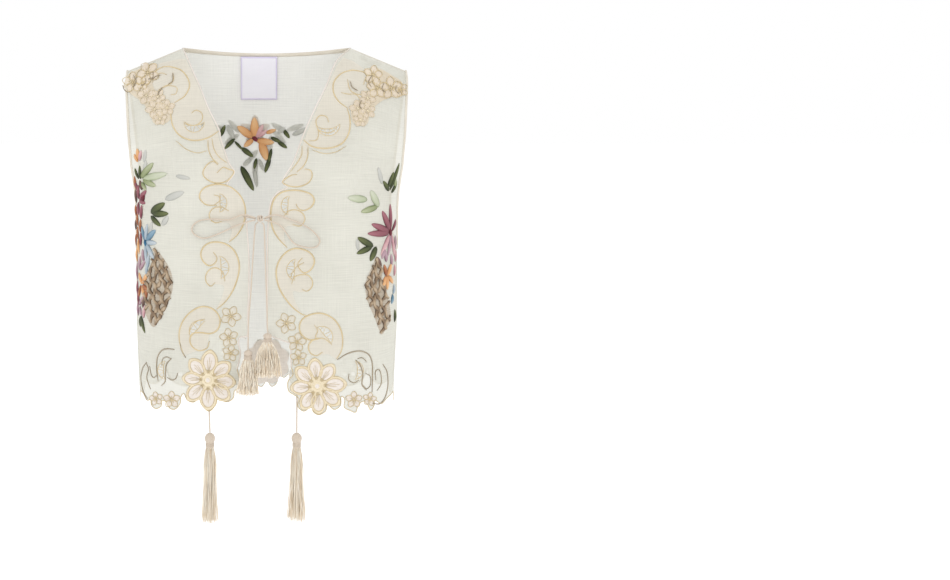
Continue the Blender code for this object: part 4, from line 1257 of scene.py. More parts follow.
def basket(soup, view, polygon, middle, slope, spacing, width):
    """A lattice of crossed flat ribbons inside a polygon of photograph points."""
    rim = np.array(polygon)
    steep = math.radians(slope)
    for family in (-1, 1):
        way = np.array([math.cos(steep), family * math.sin(steep)])
        perp = np.array([-way[1], way[0]])
        for step in range(-7, 8):
            base = np.array(middle) + perp * (step + 0.12 * math.sin(2.3 * step + family)) * spacing
            reach = np.arange(-60, 60, 1.0)
            crossed = reach[inside(base + reach[:, None] * way, rim)]
            if len(crossed) < 5:
                continue
            line = []
            for t in np.arange(crossed[0] - 0.5, crossed[-1] + 1.6, 2.6):
                sway = 0.7 * math.sin(0.55 * t + step * 1.7 + family)
                line.append(tuple(base + way * t + perp * sway))
            flat = pattern_line(view, line)
            phase = step * 3.1 + family

            def breadth(share, long=len(flat), phase=phase):
                return width * (1 + 0.22 * math.sin(0.75 * share * long + phase))

            lift = ON_CLOTH + 0.0003 + 0.0008 * (family > 0)
            ridge(soup, view, flat, breadth, 0.0013, lift, ends=0.7, ribbon_tone=phase)


# Embroidery of the two fronts in the photograph

# Main scroll lines in gold satin by panel: width in metres, points
SCROLLS = {
    "front_left": [
        (0.002, [
            (153, 80), (157, 71), (166, 67), (178, 69), (187, 77), (189.5, 87), (184, 97), (175, 103),
        ]),
        (0.0013, [(173, 73), (174, 79), (171, 84), (164, 87), (158, 92), (160, 99)]),
        (0.0012, [(153, 83), (155, 77), (161.5, 73.5), (167, 75)]),
        (0.0012, [(158, 94), (163, 88), (170, 86), (177, 88), (176, 94), (171, 95)]),
        (0.002, [
            (171, 104), (171, 114), (173, 126), (179, 134.7), (188, 139.5), (198, 140.5), (209, 137.5),
            (219, 131),
        ]),
        (0.0014, [
            (191.5, 113.5), (196, 110.5), (201.5, 113), (202.5, 119), (198, 124.5), (191, 125.5),
            (184, 122),
        ]),
        (0.001, [(176, 141), (186, 149), (197, 153), (207, 151)]),
        (0.0014, [(208, 140.5), (208.5, 149), (212, 158), (218.5, 164)]),
        (0.0012, [(212, 139), (214, 149), (219, 157), (227, 163)]),
        (0.0017, [
            (217, 173), (223, 167.5), (228, 169), (234, 172), (227, 181), (216, 183), (206.5, 179),
            (203, 173), (207, 165), (213, 161.5), (218, 165),
        ]),
        (0.0021, [
            (217, 205.5), (206, 204.5), (200, 198.5), (201, 191.5), (207, 186.5), (218, 184.3),
            (229, 186.5), (238, 193), (243.6, 202), (245.5, 213), (243, 225), (237, 235), (229, 242),
        ]),
        (0.0015, [
            (229, 211), (221, 207), (213, 208.5), (209.3, 214.5), (211, 220), (216, 222.8), (222, 221.4),
        ]),
        (0.0012, [(214, 195), (219, 196.5), (219.5, 201), (214, 205)]),
        (0.0021, [
            (213.4, 252.2), (217, 258), (214.5, 263.5), (208.5, 265.5), (202.8, 260.5), (201, 253),
            (205, 245.5), (213.5, 242), (225, 243.6), (234.5, 251), (239, 263), (238.3, 275), (233.5, 289),
            (225.8, 301), (217, 309),
        ]),
        (0.0015, [
            (225, 281), (223, 272.5), (217, 268), (210.5, 269), (206, 275), (206.5, 282), (210.8, 286),
            (215.2, 282.5),
        ]),
        (0.0021, [
            (184.5, 356), (180.5, 345), (179.3, 334), (182, 323), (189, 313.5), (199, 307.3), (209, 307),
            (217, 312.5), (220.2, 321), (217.5, 329.5), (210.5, 333.3), (200, 332.5), (193, 333.5),
            (190, 339), (192, 346), (199, 350.5), (207, 348), (209.5, 341),
        ]),
        (0.0012, [(205, 319), (197.5, 321), (191.5, 327), (189, 334)]),
    ],
    "front_right": [
        (0.002, [
            (369, 80), (364, 73), (354, 70.8), (342, 73.5), (334, 82), (333.6, 93), (339, 102), (347, 108),
        ]),
        (0.0013, [(347.5, 80), (349, 88), (353, 93), (361, 95), (367, 91)]),
        (0.0012, [(341, 93), (348, 94.5), (357, 96), (361, 103), (358, 110)]),
        (0.0012, [(363, 85), (366, 78), (372, 76)]),
        (0.002, [
            (347, 108.5), (349.8, 119), (349, 132), (343, 142.5), (333, 147.5), (321, 148.3), (311, 146),
            (303.5, 140),
        ]),
        (0.0014, [
            (328.5, 122.5), (326.5, 117), (320, 115.8), (316, 121), (318, 129), (325, 132.7), (332, 132),
            (336.5, 128),
        ]),
        (0.0012, [(316.5, 125), (318.5, 133), (316.5, 140), (309, 141)]),
        (0.001, [(346, 146), (336, 152), (324, 153.5), (312, 150)]),
        (0.0014, [(308, 147), (307.5, 157), (303.5, 166), (297, 172)]),
        (0.0012, [(302, 146), (301.5, 155), (297, 163), (290, 172)]),
        (0.0017, [
            (297, 174.5), (291, 175.5), (282.5, 181.8), (289, 186), (299, 186.6), (308, 183), (312, 176.5),
            (310.5, 170.5), (304.5, 169),
        ]),
        (0.0021, [
            (296, 204), (298.5, 208.5), (304, 210.5), (311, 207), (314.2, 200.5), (311, 194.5),
            (303, 191.3), (293, 190.2), (282.5, 192), (275, 198), (271.5, 207), (270.8, 218), (273, 229),
            (278.5, 238.5), (287, 247.5),
        ]),
        (0.0015, [
            (284, 216), (289.5, 210.6), (297.4, 210.2), (303.5, 214.5), (304.6, 220.6), (300, 226),
            (292.5, 224.5),
        ]),
        (0.0021, [
            (302.2, 258), (298, 263), (299.5, 269), (304.5, 272.8), (311, 269.2), (314.3, 261.5),
            (311.7, 254.5), (305, 250), (295.5, 248.4), (287.5, 251.3), (280.5, 258.5), (276.6, 268),
            (276.6, 278), (279.5, 288.5), (285, 298), (292.5, 307), (301, 313.6), (308, 316),
        ]),
        (0.0015, [
            (291.7, 284), (293.6, 277.7), (300.5, 274.7), (308, 275.2), (312.3, 280.9), (311.6, 287),
            (306.8, 291), (302, 289.3),
        ]),
        (0.0012, [(304, 262.5), (297, 266.5), (292, 273), (290.5, 280)]),
        (0.0021, [
            (322.5, 352), (316.3, 355.6), (310, 352.5), (308.5, 346), (312, 340.5), (319, 338.3),
            (309.6, 339.7), (302.5, 335.5), (299.3, 328), (302, 319.5), (311, 314.3), (322, 313.3),
            (333, 318.5), (340, 328), (342.5, 340), (341, 351), (336.5, 359),
        ]),
        (0.0013, [(314.3, 325), (317.5, 330.5), (315.5, 337.5), (324, 338.5), (331.9, 344.5)]),
    ],
}

# Darker lines by the side hem by panel: width, points
DARK_SCROLLS = {
    "front_left": [
        (0.0016, [(180, 342), (182, 350.5), (186, 357.5)]),
        (0.0018, [(175, 349.3), (167.5, 348.5), (161.5, 351), (157.7, 358), (157, 369), (158.5, 381)]),
        (0.0018, [(171.7, 358.6), (167.2, 364), (166.2, 374), (165.8, 381), (162, 385.5)]),
        (0.0012, [(162.5, 366), (163, 359.5), (167, 356.6), (172, 358.4)]),
        (0.0013, [(178, 373), (176, 378.3), (171.8, 379.8), (168, 377)]),
        (0.0018, [(147, 362), (143, 368.5), (141.6, 379), (143.7, 390.5), (148, 398.5)]),
        (0.0013, [(146.5, 362.5), (148.8, 369), (147.3, 377.5), (151, 389)]),
        (0.0012, [(150, 366), (151.5, 374), (154, 377.5), (158, 374)]),
    ],
    "front_right": [
        (0.0018, [
            (337.5, 359.5), (347, 353.5), (359, 350.8), (368.5, 354.5), (372.2, 363), (372.3, 378),
            (371.8, 392),
        ]),
        (0.002, [(355.2, 359.8), (360.5, 366.5), (362.3, 375.5), (361.6, 384), (366, 390)]),
        (0.0012, [(357, 358.5), (362, 357.6), (366.5, 361.5)]),
        (0.0013, [(348.6, 373.5), (348.6, 379.5), (353.3, 382.6), (358.5, 380)]),
        (0.0013, [(361.8, 384), (366, 388.5), (370, 385), (370, 376.5), (365, 373)]),
        (0.0019, [(382.5, 364), (386.6, 372), (387.4, 384), (385, 396), (379.5, 403.5), (372, 403)]),
        (0.0013, [
            (375.6, 380), (375.2, 371.5), (378.8, 369.5), (380.8, 376.5), (380.5, 384), (376.5, 390.5),
        ]),
    ],
}

# Back hem of the left half, mirrored: width, points
BACK_SCROLLS = [
    (0.0021, [
        (683, 376), (675, 371.8), (666.5, 370.8), (657, 373.3), (648.5, 380), (643.2, 389), (643.3, 397.5),
        (647, 403.5), (653.5, 407.8), (660.3, 408.3), (664.6, 403.8), (665, 395.5), (664.4, 388.5),
        (667, 383.5), (671, 379.6),
    ]),
    (0.0014, [(672, 389), (675.2, 394), (674.2, 400.3), (669.5, 402.8)]),
    (0.0012, [(660, 380), (655.5, 386), (655, 393), (660, 391)]),
    (0.0019, [
        (601.5, 390), (598, 394), (597.3, 401), (600.3, 410.5), (606.7, 418), (615, 422.3), (625, 422.3),
        (635, 417.5), (641, 410), (644, 402),
    ]),
    (0.0015, [
        (599, 392.5), (602.5, 390), (606, 392.6), (609.3, 398.5), (612.6, 405), (617.6, 409), (623.5, 410),
    ]),
    (0.0015, [
        (610.8, 397), (613, 393.2), (618, 393), (621.5, 397.2), (619.5, 401), (625.5, 402.6), (632, 400.8),
        (641, 393.2),
    ]),
    (0.0012, [(602.5, 401), (604.5, 404), (608, 403.5)]),
    (0.0015, [(586, 383), (588.5, 390), (587.5, 398)]),
]

# Hem flowers by panel: centre, and the turn and length of each petal
HEM_FLOWERS = {
    "front_left": (208, 379.6, [
        (85, 30), (37, 28), (-6, 28), (-43, 29), (-89, 30.5), (-135, 28.5), (176, 25.5), (131, 27),
    ]),
    "front_right": (317, 385.7, [
        (96, 28), (52, 27), (4, 29.5), (-40, 29), (-86, 28), (-123, 27.5), (-175, 27), (139, 28),
    ]),
    "back": (706.3, 402, [
        (70, 27), (25, 27), (-20, 26), (-65, 26), (-110, 26), (-155, 27), (160, 27), (115, 27),
    ]),
}

# Small flowers by panel: centre, radius, turn of the first petal
SMALL_FLOWERS = {
    "front_left": [
        (230.8, 316, 10.5, 65), (229, 337.5, 9.5, 100), (230.5, 353, 8.5, 80), (172, 399.5, 8.5, 90),
        (156.5, 398.5, 7, 100),
    ],
    "front_right": [
        (286.5, 323, 10.5, 110), (297, 342, 9.5, 80), (298.5, 357.5, 8.5, 95), (353.6, 399.5, 8.5, 90),
        (369.2, 399, 7, 80),
    ],
    "back": [(649.5, 419, 10.5, 60), (671, 416, 9.5, 95), (742.5, 416, 9.5, 85), (765, 418, 10.5, 120)],
}

# Ribbon stitches by view and colour: root, tip and width, all in photograph points. Those of the inside are
# the reverse of the back's spray, as the front photograph shows it through the neck.
RIBBONS = {
    "front": {
        "orange": [
            (139.5, 160, 137.5, 148.5, 5), (138.5, 162, 134.8, 154, 4), (139.2, 238, 139.8, 254, 4.6),
            (143, 284, 139.5, 272.5, 5), (143, 284, 148.5, 273, 5), (142.5, 285, 145.5, 298, 5.2),
            (138, 262, 137.8, 247, 4.6), (386.5, 276, 391, 263, 5.4), (385.5, 276, 382, 288, 5.4),
            (386.5, 276, 387, 290, 5.2), (387.5, 276, 392.5, 283, 4.8),
        ],
        "pink": [
            (140, 161, 141.5, 150.5, 4), (144, 318, 145.5, 305, 4.4), (394.5, 262, 394.5, 249, 4.4),
            (393.5, 276, 394, 264, 4.2), (389, 234, 380.5, 255.5, 5.6), (391, 234, 393.5, 256, 4.6),
        ],
        "dark_green": [
            (141, 179, 140.3, 165.5, 3.4), (139.5, 179, 135.5, 168, 3.6), (151, 213, 165, 203, 7.2),
            (152.5, 214, 168.5, 213.5, 6.4), (151, 216, 161, 226, 5.6), (141.5, 315, 145.5, 333, 5.4),
            (141, 316, 141, 327, 4.2), (387.5, 188, 393, 172, 4.6), (389.5, 190, 398, 163, 4.2),
            (388.5, 191, 383, 181, 4.4), (391, 193, 396, 181, 4.4), (373, 246.5, 357.5, 237.5, 6.4),
            (372, 246.5, 356.5, 253.5, 5.8), (376, 246.5, 370, 261, 6.4), (393.5, 322, 393.6, 309, 3.6),
        ],
        "light_green": [
            (141.5, 178, 153.5, 163, 6.5), (143.5, 180, 156, 186, 6.5), (142.5, 182, 146.5, 190.5, 5),
            (393.5, 190, 394.5, 177, 3.8), (377.5, 206.5, 361, 212, 6.2),
        ],
        "pale_green": [
            (143.5, 179, 167, 173.5, 7.5), (367, 200, 347.5, 197.5, 7), (378.5, 207, 370.5, 190.5, 6.6),
        ],
        "burgundy": [
            (139, 190, 134.5, 178.5, 4.5), (139, 199, 139.2, 185, 5), (140, 200, 147, 190.5, 5),
            (140, 201, 146, 203, 4.5), (139.5, 202, 138.8, 215, 5), (139.5, 305, 139, 291, 4.6),
            (141.5, 219, 142.5, 205, 5), (141.5, 246, 141.5, 232, 4.2), (138.5, 296, 138.3, 280, 4.6),
            (389, 231, 382, 211, 6.4), (390, 230, 389.5, 204, 4.8), (388.5, 232, 371.5, 224, 6.4),
            (388.5, 233, 367.5, 233.5, 6.4), (391.5, 231, 395, 219, 4.2),
        ],
        "rust": [
            (138.6, 226, 138.2, 213, 4.5), (138.8, 240, 138.4, 226, 4.5), (143, 285, 149.5, 290, 5),
            (141.5, 285, 139.5, 297, 4.6), (137, 190, 135.3, 176, 4.4), (137, 217, 136.6, 203, 4.6),
            (141, 232, 141.5, 219, 4.4), (137, 246, 137, 232, 4.6), (146.5, 299, 147.5, 287, 4.6),
            (386, 276, 383.5, 264.5, 5),
        ],
        "grey": [
            (162.5, 225, 168.5, 216.5, 5), (165.5, 199.5, 184, 192, 6.4), (144.5, 162, 146, 150, 4),
            (145, 172, 146.5, 160.5, 4.4), (150, 234, 152.5, 222, 4.6), (176, 176, 190, 178.5, 4),
            (382, 184, 378, 167.5, 4.2), (358, 250, 356.5, 239, 3.4),
        ],
        "pale_blue": [
            (145.5, 241, 147.5, 224, 5), (146, 242, 157, 243, 5), (146.5, 243, 154.5, 259, 6),
            (145.5, 243, 147, 264, 5), (148, 268, 149.5, 254, 4.4), (147, 275, 147.5, 262, 4.4),
            (392.5, 294, 393.5, 284, 4.4),
        ],
        "blue": [(146, 241, 156, 230, 6), (145, 241, 142.5, 226, 4), (392, 294, 391, 304, 4.2)],
        "deep_blue": [(145.3, 239, 146.3, 247, 4.6)],
        "mauve": [
            (140, 270, 141, 256, 5), (140.5, 270, 146, 260, 4.2), (140, 305, 144.5, 296, 4.2),
            (140.5, 306, 142, 316, 4.8), (144, 262, 143, 249, 4.6), (138.2, 280, 138, 262, 4.6),
            (138.8, 316, 138.6, 301, 4.6), (394, 250, 394.5, 235, 4.4), (384.5, 246, 381.5, 259, 5.2),
            (386, 262, 384.5, 250, 5), (391, 266, 390.5, 254, 4.6), (390, 234, 387.5, 256, 5.2),
        ],
        "dark_brown": [
            (142.5, 190, 140.5, 180, 4.6), (137, 203, 136.2, 189, 4.6), (137, 232, 136.8, 217, 4.8),
            (143.5, 308, 145, 298, 4.4), (380.5, 268, 377, 257, 4.6),
        ],
        "wine": [(143, 203, 144.5, 191, 5), (389, 227, 390.2, 236.5, 4.4)],
    },
    "back": {
        "orange": [
            (718, 141, 719, 124, 8.4), (718, 141, 702.5, 135, 7.6), (718, 141, 734, 134.5, 7.6),
            (718, 141, 709.5, 156, 7.4), (718, 141, 728, 155.5, 7.6), (580, 292, 581, 304, 5),
            (579.5, 310, 586, 301, 4.4),
        ],
        "rust": [(716.5, 143, 719.5, 138, 5)],
        "dark_green": [
            (684, 141, 665.5, 134, 5.6), (686, 142, 701, 133, 5.6), (699, 141, 685.5, 155, 5.4),
            (736, 143, 747.5, 129, 5.4), (736.5, 145, 752, 155.5, 5.8), (752, 139, 767, 135, 5),
            (714, 160, 703.5, 177, 5.6), (716, 163, 727.5, 177, 5.4), (718, 173, 719.5, 195, 5.8),
            (603, 69, 590, 71, 4.6), (603, 68, 611.5, 62.5, 4.8), (604, 70, 604.5, 82, 4.8),
            (824, 73, 818.5, 69, 4), (826, 74, 827.5, 87.5, 4.6), (580, 272, 577, 258, 4.6),
            (580.5, 273, 586, 262, 4.8), (579.5, 314, 577.8, 327, 4.6), (837, 262, 834.5, 246, 4.2),
        ],
        "grey": [(664, 139, 657.5, 165, 6), (701, 146, 704.5, 172, 6), (769, 136, 789, 124.5, 6)],
        "burgundy": [
            (580, 290, 577.5, 277, 5), (580.5, 290, 588, 281, 4.8), (580.5, 291, 589, 294, 4.8),
            (836.5, 285, 834, 270, 4.6),
        ],
        "light_green": [(580, 314, 586, 322, 4.4)],
        "blue": [(835.5, 300, 834, 288, 4.2)],
    },
    "inside": {
        "orange": [
            (254.8, 138.5, 254.4, 117.5, 8.4), (252.5, 137.5, 237.5, 126, 8), (266, 133, 276, 129.5, 4.2),
            (253, 139, 244, 146.5, 5.6), (256.5, 140.5, 274, 142.5, 7.2), (261, 141, 266.5, 160, 8.6),
        ],
        "pink": [(255.5, 138.5, 263, 124.5, 5.4), (257.5, 137, 267, 130, 4.6)],
        "wine": [(253, 135.5, 257, 141.5, 4.6)],
        "dark_green": [
            (220, 136.5, 225, 125, 4.4), (234.5, 138.5, 224.5, 149, 4.2), (234.5, 141, 243, 150, 3),
            (241.5, 147.5, 253, 156.5, 5.6), (256.5, 158, 254.2, 169, 3.6), (241, 166, 253.5, 190.5, 7.2),
            (271.5, 148.5, 268.5, 163, 3.6), (270, 158, 265, 172.5, 4.6), (271, 137, 281, 142.5, 4.2),
            (277.5, 141, 287, 148, 4.6), (283.5, 129.5, 289.5, 138, 4.2),
        ],
        "grey": [
            (227.5, 125, 233.5, 138.5, 5.4), (278, 133, 285, 127.5, 4.6), (292.5, 135, 307, 128, 5.4),
            (250.5, 159, 243.5, 165.5, 5), (258.5, 158.5, 264, 171, 4), (254.5, 170, 257, 187, 4.6),
        ],
    },
}

# Ribbon colours: base, tip and darkest tone; the tip tone is a painted highlight and the darkest a painted
# shade
RIBBON_COLOURS = {
    "orange": ((0.68, 0.35, 0.15), (0.8, 0.51, 0.27), (0.43, 0.16, 0.045)),
    "rust": ((0.33, 0.11, 0.042), (0.48, 0.21, 0.1), (0.15, 0.036, 0.015)),
    "pink": ((0.57, 0.32, 0.34), (0.72, 0.5, 0.5), (0.32, 0.13, 0.16)),
    "burgundy": ((0.23, 0.07, 0.09), (0.37, 0.145, 0.175), (0.08, 0.014, 0.026)),
    "wine": ((0.12, 0.008, 0.018), (0.22, 0.03, 0.05), (0.05, 0.004, 0.008)),
    "mauve": ((0.38, 0.24, 0.28), (0.52, 0.38, 0.42), (0.19, 0.1, 0.13)),
    "blue": ((0.13, 0.24, 0.33), (0.28, 0.4, 0.49), (0.04, 0.11, 0.18)),
    "deep_blue": ((0.013, 0.1, 0.2), (0.05, 0.2, 0.32), (0.006, 0.04, 0.09)),
    "pale_blue": ((0.36, 0.43, 0.48), (0.54, 0.58, 0.61), (0.15, 0.22, 0.28)),
    "dark_brown": ((0.12, 0.065, 0.05), (0.24, 0.15, 0.12), (0.04, 0.02, 0.018)),
    "dark_green": ((0.05, 0.065, 0.02), (0.145, 0.165, 0.06), (0.012, 0.018, 0.006)),
    "light_green": ((0.27, 0.31, 0.155), (0.47, 0.5, 0.33), (0.11, 0.145, 0.055)),
    "pale_green": ((0.46, 0.5, 0.35), (0.6, 0.62, 0.5), (0.24, 0.29, 0.16)),
    "grey": ((0.5, 0.5, 0.46), (0.57, 0.57, 0.53), (0.4, 0.41, 0.38)),
}

# Baskets: outline, middle, slope of the ribbons, spacing, width of a ribbon
BASKETS = [
    (
        [
            (155, 247), (163, 257), (171.5, 272), (173, 288), (168.5, 303), (161, 318), (154, 327),
            (147, 316), (143, 300), (146, 280), (152, 262),
        ],
        (158, 288),
        63,
        7.6,
        0.0052,
    ),
    (
        [
            (376, 256), (381, 270), (383, 285), (388, 300), (390.5, 318), (386.5, 327), (381, 334),
            (374.5, 318), (367, 300), (365, 284), (370, 270),
        ],
        (377, 294),
        65,
        6.8,
        0.005,
    ),
]

# Sheer pieces under the scrolls by panel: outline
SCROLL_GROUNDS = {
    "front_left": [
        [
            (186, 60), (190, 68), (197, 83), (206, 105), (216, 128), (220, 142), (224, 153), (228.5, 164),
            (233.2, 171.5), (227, 180), (217, 183), (207, 179.5), (203, 173.5), (206.5, 166), (213, 161),
            (209, 150), (208, 141), (198, 141), (188, 140), (178, 135), (172.5, 126), (170.5, 114),
            (170, 104), (160, 100), (151, 92), (146, 80), (150, 71), (160, 64), (172, 61),
        ],
        [
            (200, 198.5), (201, 191.5), (207, 186.5), (218, 184.3), (229, 186.5), (238, 193), (243.6, 202),
            (245, 213), (243, 225), (237, 235), (229, 242), (232, 231), (229, 223), (222, 223),
            (214, 222.5), (209.3, 216), (211, 209), (217, 205.5), (206, 204.5),
        ],
        [
            (201, 253), (205, 245.5), (213.5, 242), (225, 243.6), (234.5, 251), (239, 263), (238.3, 275),
            (233.5, 289), (225.8, 301), (217, 309), (222, 297), (224, 286), (215, 284), (208, 285),
            (206, 278), (209, 270), (214, 266), (208.5, 265.5), (202.8, 260.5),
        ],
        [
            (184.5, 356), (180.5, 345), (179.3, 334), (182, 323), (189, 313.5), (199, 307.3), (209, 307),
            (217, 312.5), (220.2, 321), (217.5, 329.5), (210.5, 333.3), (208, 341), (206, 348),
            (199, 350.5), (190, 353),
        ],
    ],
    "front_right": [
        [
            (343, 58), (337, 66), (330, 81), (320, 102), (311, 123), (305, 139), (300.5, 151), (295, 165),
            (284.5, 181), (290, 186), (299, 186.6), (308, 183), (312, 176.5), (310.5, 170.5), (304, 167),
            (307.5, 157), (308, 148), (321, 150), (333, 149), (343.5, 143.5), (350, 132), (350.5, 119),
            (349, 109), (357, 104), (366, 96), (370, 84), (366, 72), (356, 64),
        ],
        [
            (304, 210.5), (311, 207), (314.2, 200.5), (311, 194.5), (303, 191.3), (293, 190.2),
            (282.5, 192), (275, 198), (271.5, 207), (271, 218), (273, 229), (278.5, 238.5), (287, 247.5),
            (284, 237), (286, 227), (292.5, 226), (300, 226.5), (304.6, 220.6), (303.5, 214.5),
        ],
        [
            (304.5, 272.8), (311, 269.2), (314.3, 261.5), (311.7, 254.5), (305, 250), (295.5, 248.4),
            (287.5, 251.3), (280.5, 258.5), (276.8, 268), (276.8, 278), (279.5, 288.5), (285, 298),
            (292.5, 307), (301, 313.6), (295, 301), (293, 291), (300, 292), (306.8, 291), (311.6, 287),
            (312.3, 280.9), (309, 276),
        ],
        [
            (302, 319.5), (311, 314.3), (322, 313.3), (333, 318.5), (340, 328), (342.5, 340), (341, 351),
            (336.5, 359), (328, 354), (316.3, 355.6), (310, 352.5), (308.5, 346), (307, 339),
            (302.5, 335.5), (299.3, 328),
        ],
    ],
}

# Lace under the shoulder flowers by panel: outline
LACE_GROUNDS = {
    "front_left": [
        [
            (124, 86), (128, 76), (138, 70), (148, 65), (158, 65), (153, 73), (153, 85), (160, 97),
            (170, 103), (172, 115), (167, 123), (155, 124), (150, 113), (142, 102), (131, 94),
        ],
    ],
    "front_right": [
        [
            (406, 95), (402, 83), (392, 76), (381, 70), (371, 68), (372, 79), (368, 95), (352, 106),
            (352, 121), (358, 126), (367, 124), (370, 112), (379, 103), (390, 98),
        ],
    ],
}

# Brown ridges painted as the shade between the raised shoulder flowers by panel: width, points
SHOULDER_SHADE_ARCS = {
    "front_left": [
        (0.0016, [(134, 76), (137, 82), (134, 87.5)]),
        (0.0015, [(146.5, 79), (146.5, 84), (142, 86.5)]),
        (0.0016, [(154, 73), (153.5, 78.5), (149, 80)]),
        (0.0014, [(173.2, 74), (173, 81.5), (169, 84.8)]),
        (0.0013, [(163, 88), (159.5, 93), (158.5, 97)]),
        (0.0013, [(124, 86), (126, 91), (129, 92.5)]),
        (0.0012, [(153, 81), (156, 77.5), (161, 76)]),
    ],
    "front_right": [
        (0.0015, [(371, 77), (368, 82.5), (370.5, 88)]),
        (0.0014, [(383, 84), (381.5, 89.5), (385, 93)]),
        (0.0014, [(396, 86), (395, 91), (398, 94)]),
        (0.0012, [(350, 82), (352, 88), (357, 91.5)]),
        (0.0013, [(361, 101), (359, 106), (361, 110)]),
    ],
}

# Shoulder flowers by panel: centre, radius, turn of the first petal, rise of the petals
SHOULDER_FLOWERS = {
    "front_left": [
        (133.5, 83, 10.5, 165, 0.001), (148.5, 73.5, 11.5, 118, 0.001), (143.5, 84, 6.5, 80, 0.0009),
        (147, 96, 9.5, 95, 0.0005), (158.5, 97, 7.5, 130, 0.0005), (155, 109.5, 9.5, 40, 0.0005),
        (160.5, 119, 7, 90, 0.0005), (167.5, 108, 8, 20, 0.0005),
    ],
    "front_right": [
        (372.5, 75.5, 9.5, 80, 0.0009), (376.5, 88.5, 10.5, 20, 0.001), (390.5, 88.5, 11.5, 95, 0.001),
        (400, 90, 7.5, 36, 0.0008), (367, 98.5, 8.5, 60, 0.0005), (357.5, 109, 8.5, 100, 0.0005),
        (367.5, 111.5, 8, 30, 0.0005), (360, 120.5, 7, 90, 0.0005),
    ],
}


def front_stitches(panel, lines, browns, sheers):
    """The scrolls, the edges and the cutwork of one front."""
    for soup, table in ((lines, SCROLLS), (browns, DARK_SCROLLS)):
        for width, points in table[panel]:
            ridge(soup, "front", pattern_line("front", points), width, LINE_RISE)
    border = front_edge_line(panel)[:-1]
    hem = next(i for i, p in enumerate(FRONT_EDGE[panel]) if p[1] > HEM_STITCH_PY) + 1
    ridge(lines, "front", softened(border[hem:], 0.0016), 0.0012, 0.0007, ends=1.0)
    ridge(sheers, "front", softened(border[: hem + 1], 0.0016), 0.0018, 0.0004, ends=1.0)
    for row in CRESCENTS[panel]:
        cut_edge(lines, "front", *row)


def back_stitches(lines, browns):
    """The scrolls, the hem's edge and the eyelets of the back, the same on both sides."""
    for width, points in BACK_SCROLLS:
        flat = pattern_line("back", points)
        for line in (flat, mirrored(flat)):
            ridge(lines if points[0][0] > BACK_GOLD_PX else browns, "back", line, width, LINE_RISE)
    half = softened(back_hem_line()[:-1], 0.0016)
    whole = half[::-1] + mirrored(half[1:])
    ridge(lines, "back", whole, 0.0014, 0.0008, ends=1.0)
    for row in EYELETS:
        hole = [on_pattern(*p, "back") for p in oval(*row)]
        for edge in (hole, mirrored(hole[::-1])):
            ridge(lines, "back", edge, 0.0010, 0.0006, closed=True)


def embroider(paints):
    """Everything stitched on the cloth. paints has the material of each kind of piece."""
    for panel in ("front_left", "front_right", "back"):
        view = "back" if panel == "back" else "front"
        soups = {kind: Soup() for kind in paints}
        lines, browns, flowers = soups["satin_lines"], soups["brown_lines_and_shade"], soups["satin_flower"]
        sheers, grounds = soups["applique"], soups["scroll_ground"]
        if view == "front":
            front_stitches(panel, lines, browns, sheers)
        else:
            back_stitches(lines, browns)
            overlay(soups["flower_reverse"], panel, view, lobes(*HEM_FLOWERS[panel]), SHEET_LIFT - 0.0004)
        big_flower(flowers, lines, sheers, view, *HEM_FLOWERS[panel], ON_CLOTH + 0.0004)
        for row in SMALL_FLOWERS[panel]:
            by_edge = view == "front" and row[1] < EDGE_FLOWER_PY
            small_flower(lines, grounds if by_edge else sheers, view, *row)
        for px, py, radius, first, rise in SHOULDER_FLOWERS.get(panel, []):
            stitch, width = (lines, 0.0010) if rise > 0.0007 else (flowers, 0.0007)
            petals, over_lace = soups["shoulder_petals"], ON_CLOTH + 0.0007
            small_flower(stitch, petals, view, px, py, radius, first, width, over_lace, rise)
        # Painted shade: brown ridges where shade falls between the raised shoulder flowers
        for width, points in SHOULDER_SHADE_ARCS.get(panel, []):
            ridge(browns, view, pattern_line(view, points), width, 0.0012, ON_CLOTH + 0.0012)
        for loop in SCROLL_GROUNDS.get(panel, []):
            overlay(grounds, panel, view, loop, ON_CLOTH + 0.0002)
        for loop in LACE_GROUNDS.get(panel, []):
            overlay(soups["lace_ground"], panel, view, loop, ON_CLOTH + 0.0005)
        for kind, soup in soups.items():
            if soup.faces:
                soup.build(kind + "_" + panel, paints[kind])


def lobes(px, py, tips):
    """Photograph points round the petals of a hem flower."""
    points = []
    for k in range(72):
        turn = 2 * math.pi * k / 72
        reach = 0.0
        for degrees, length in tips:
            off = (turn - math.radians(degrees) + math.pi) % (2 * math.pi) - math.pi
            reach = max(reach, length * (1 - 0.9 * off * off))
        points.append(on_turn(px, py, turn, 0.97 * reach))
    return points


def seams(material):
    """The side seams and shoulder seams as narrow folded ridges."""
    soup = Soup()
    for side in (-1, 1):
        for view in ("front", "back"):
            across = side * (SIDE - 0.0012)
            down = filled([(across, UNDERARM), (across, HEM_AT_SIDE - 0.001)], 0.004)
            ridge(soup, view, down, 0.0018, 0.0006, ends=1.0)
        start, end = neck_half() + 0.002, armhole_edge(BINDING_WIDTH)[-1][0]
        along = filled([(side * start, 0.0016), (side * end, 0.0016)], 0.004)
        ridge(soup, "front", along, 0.0016, 0.0005, ends=1.0)
    soup.build("seams", material)


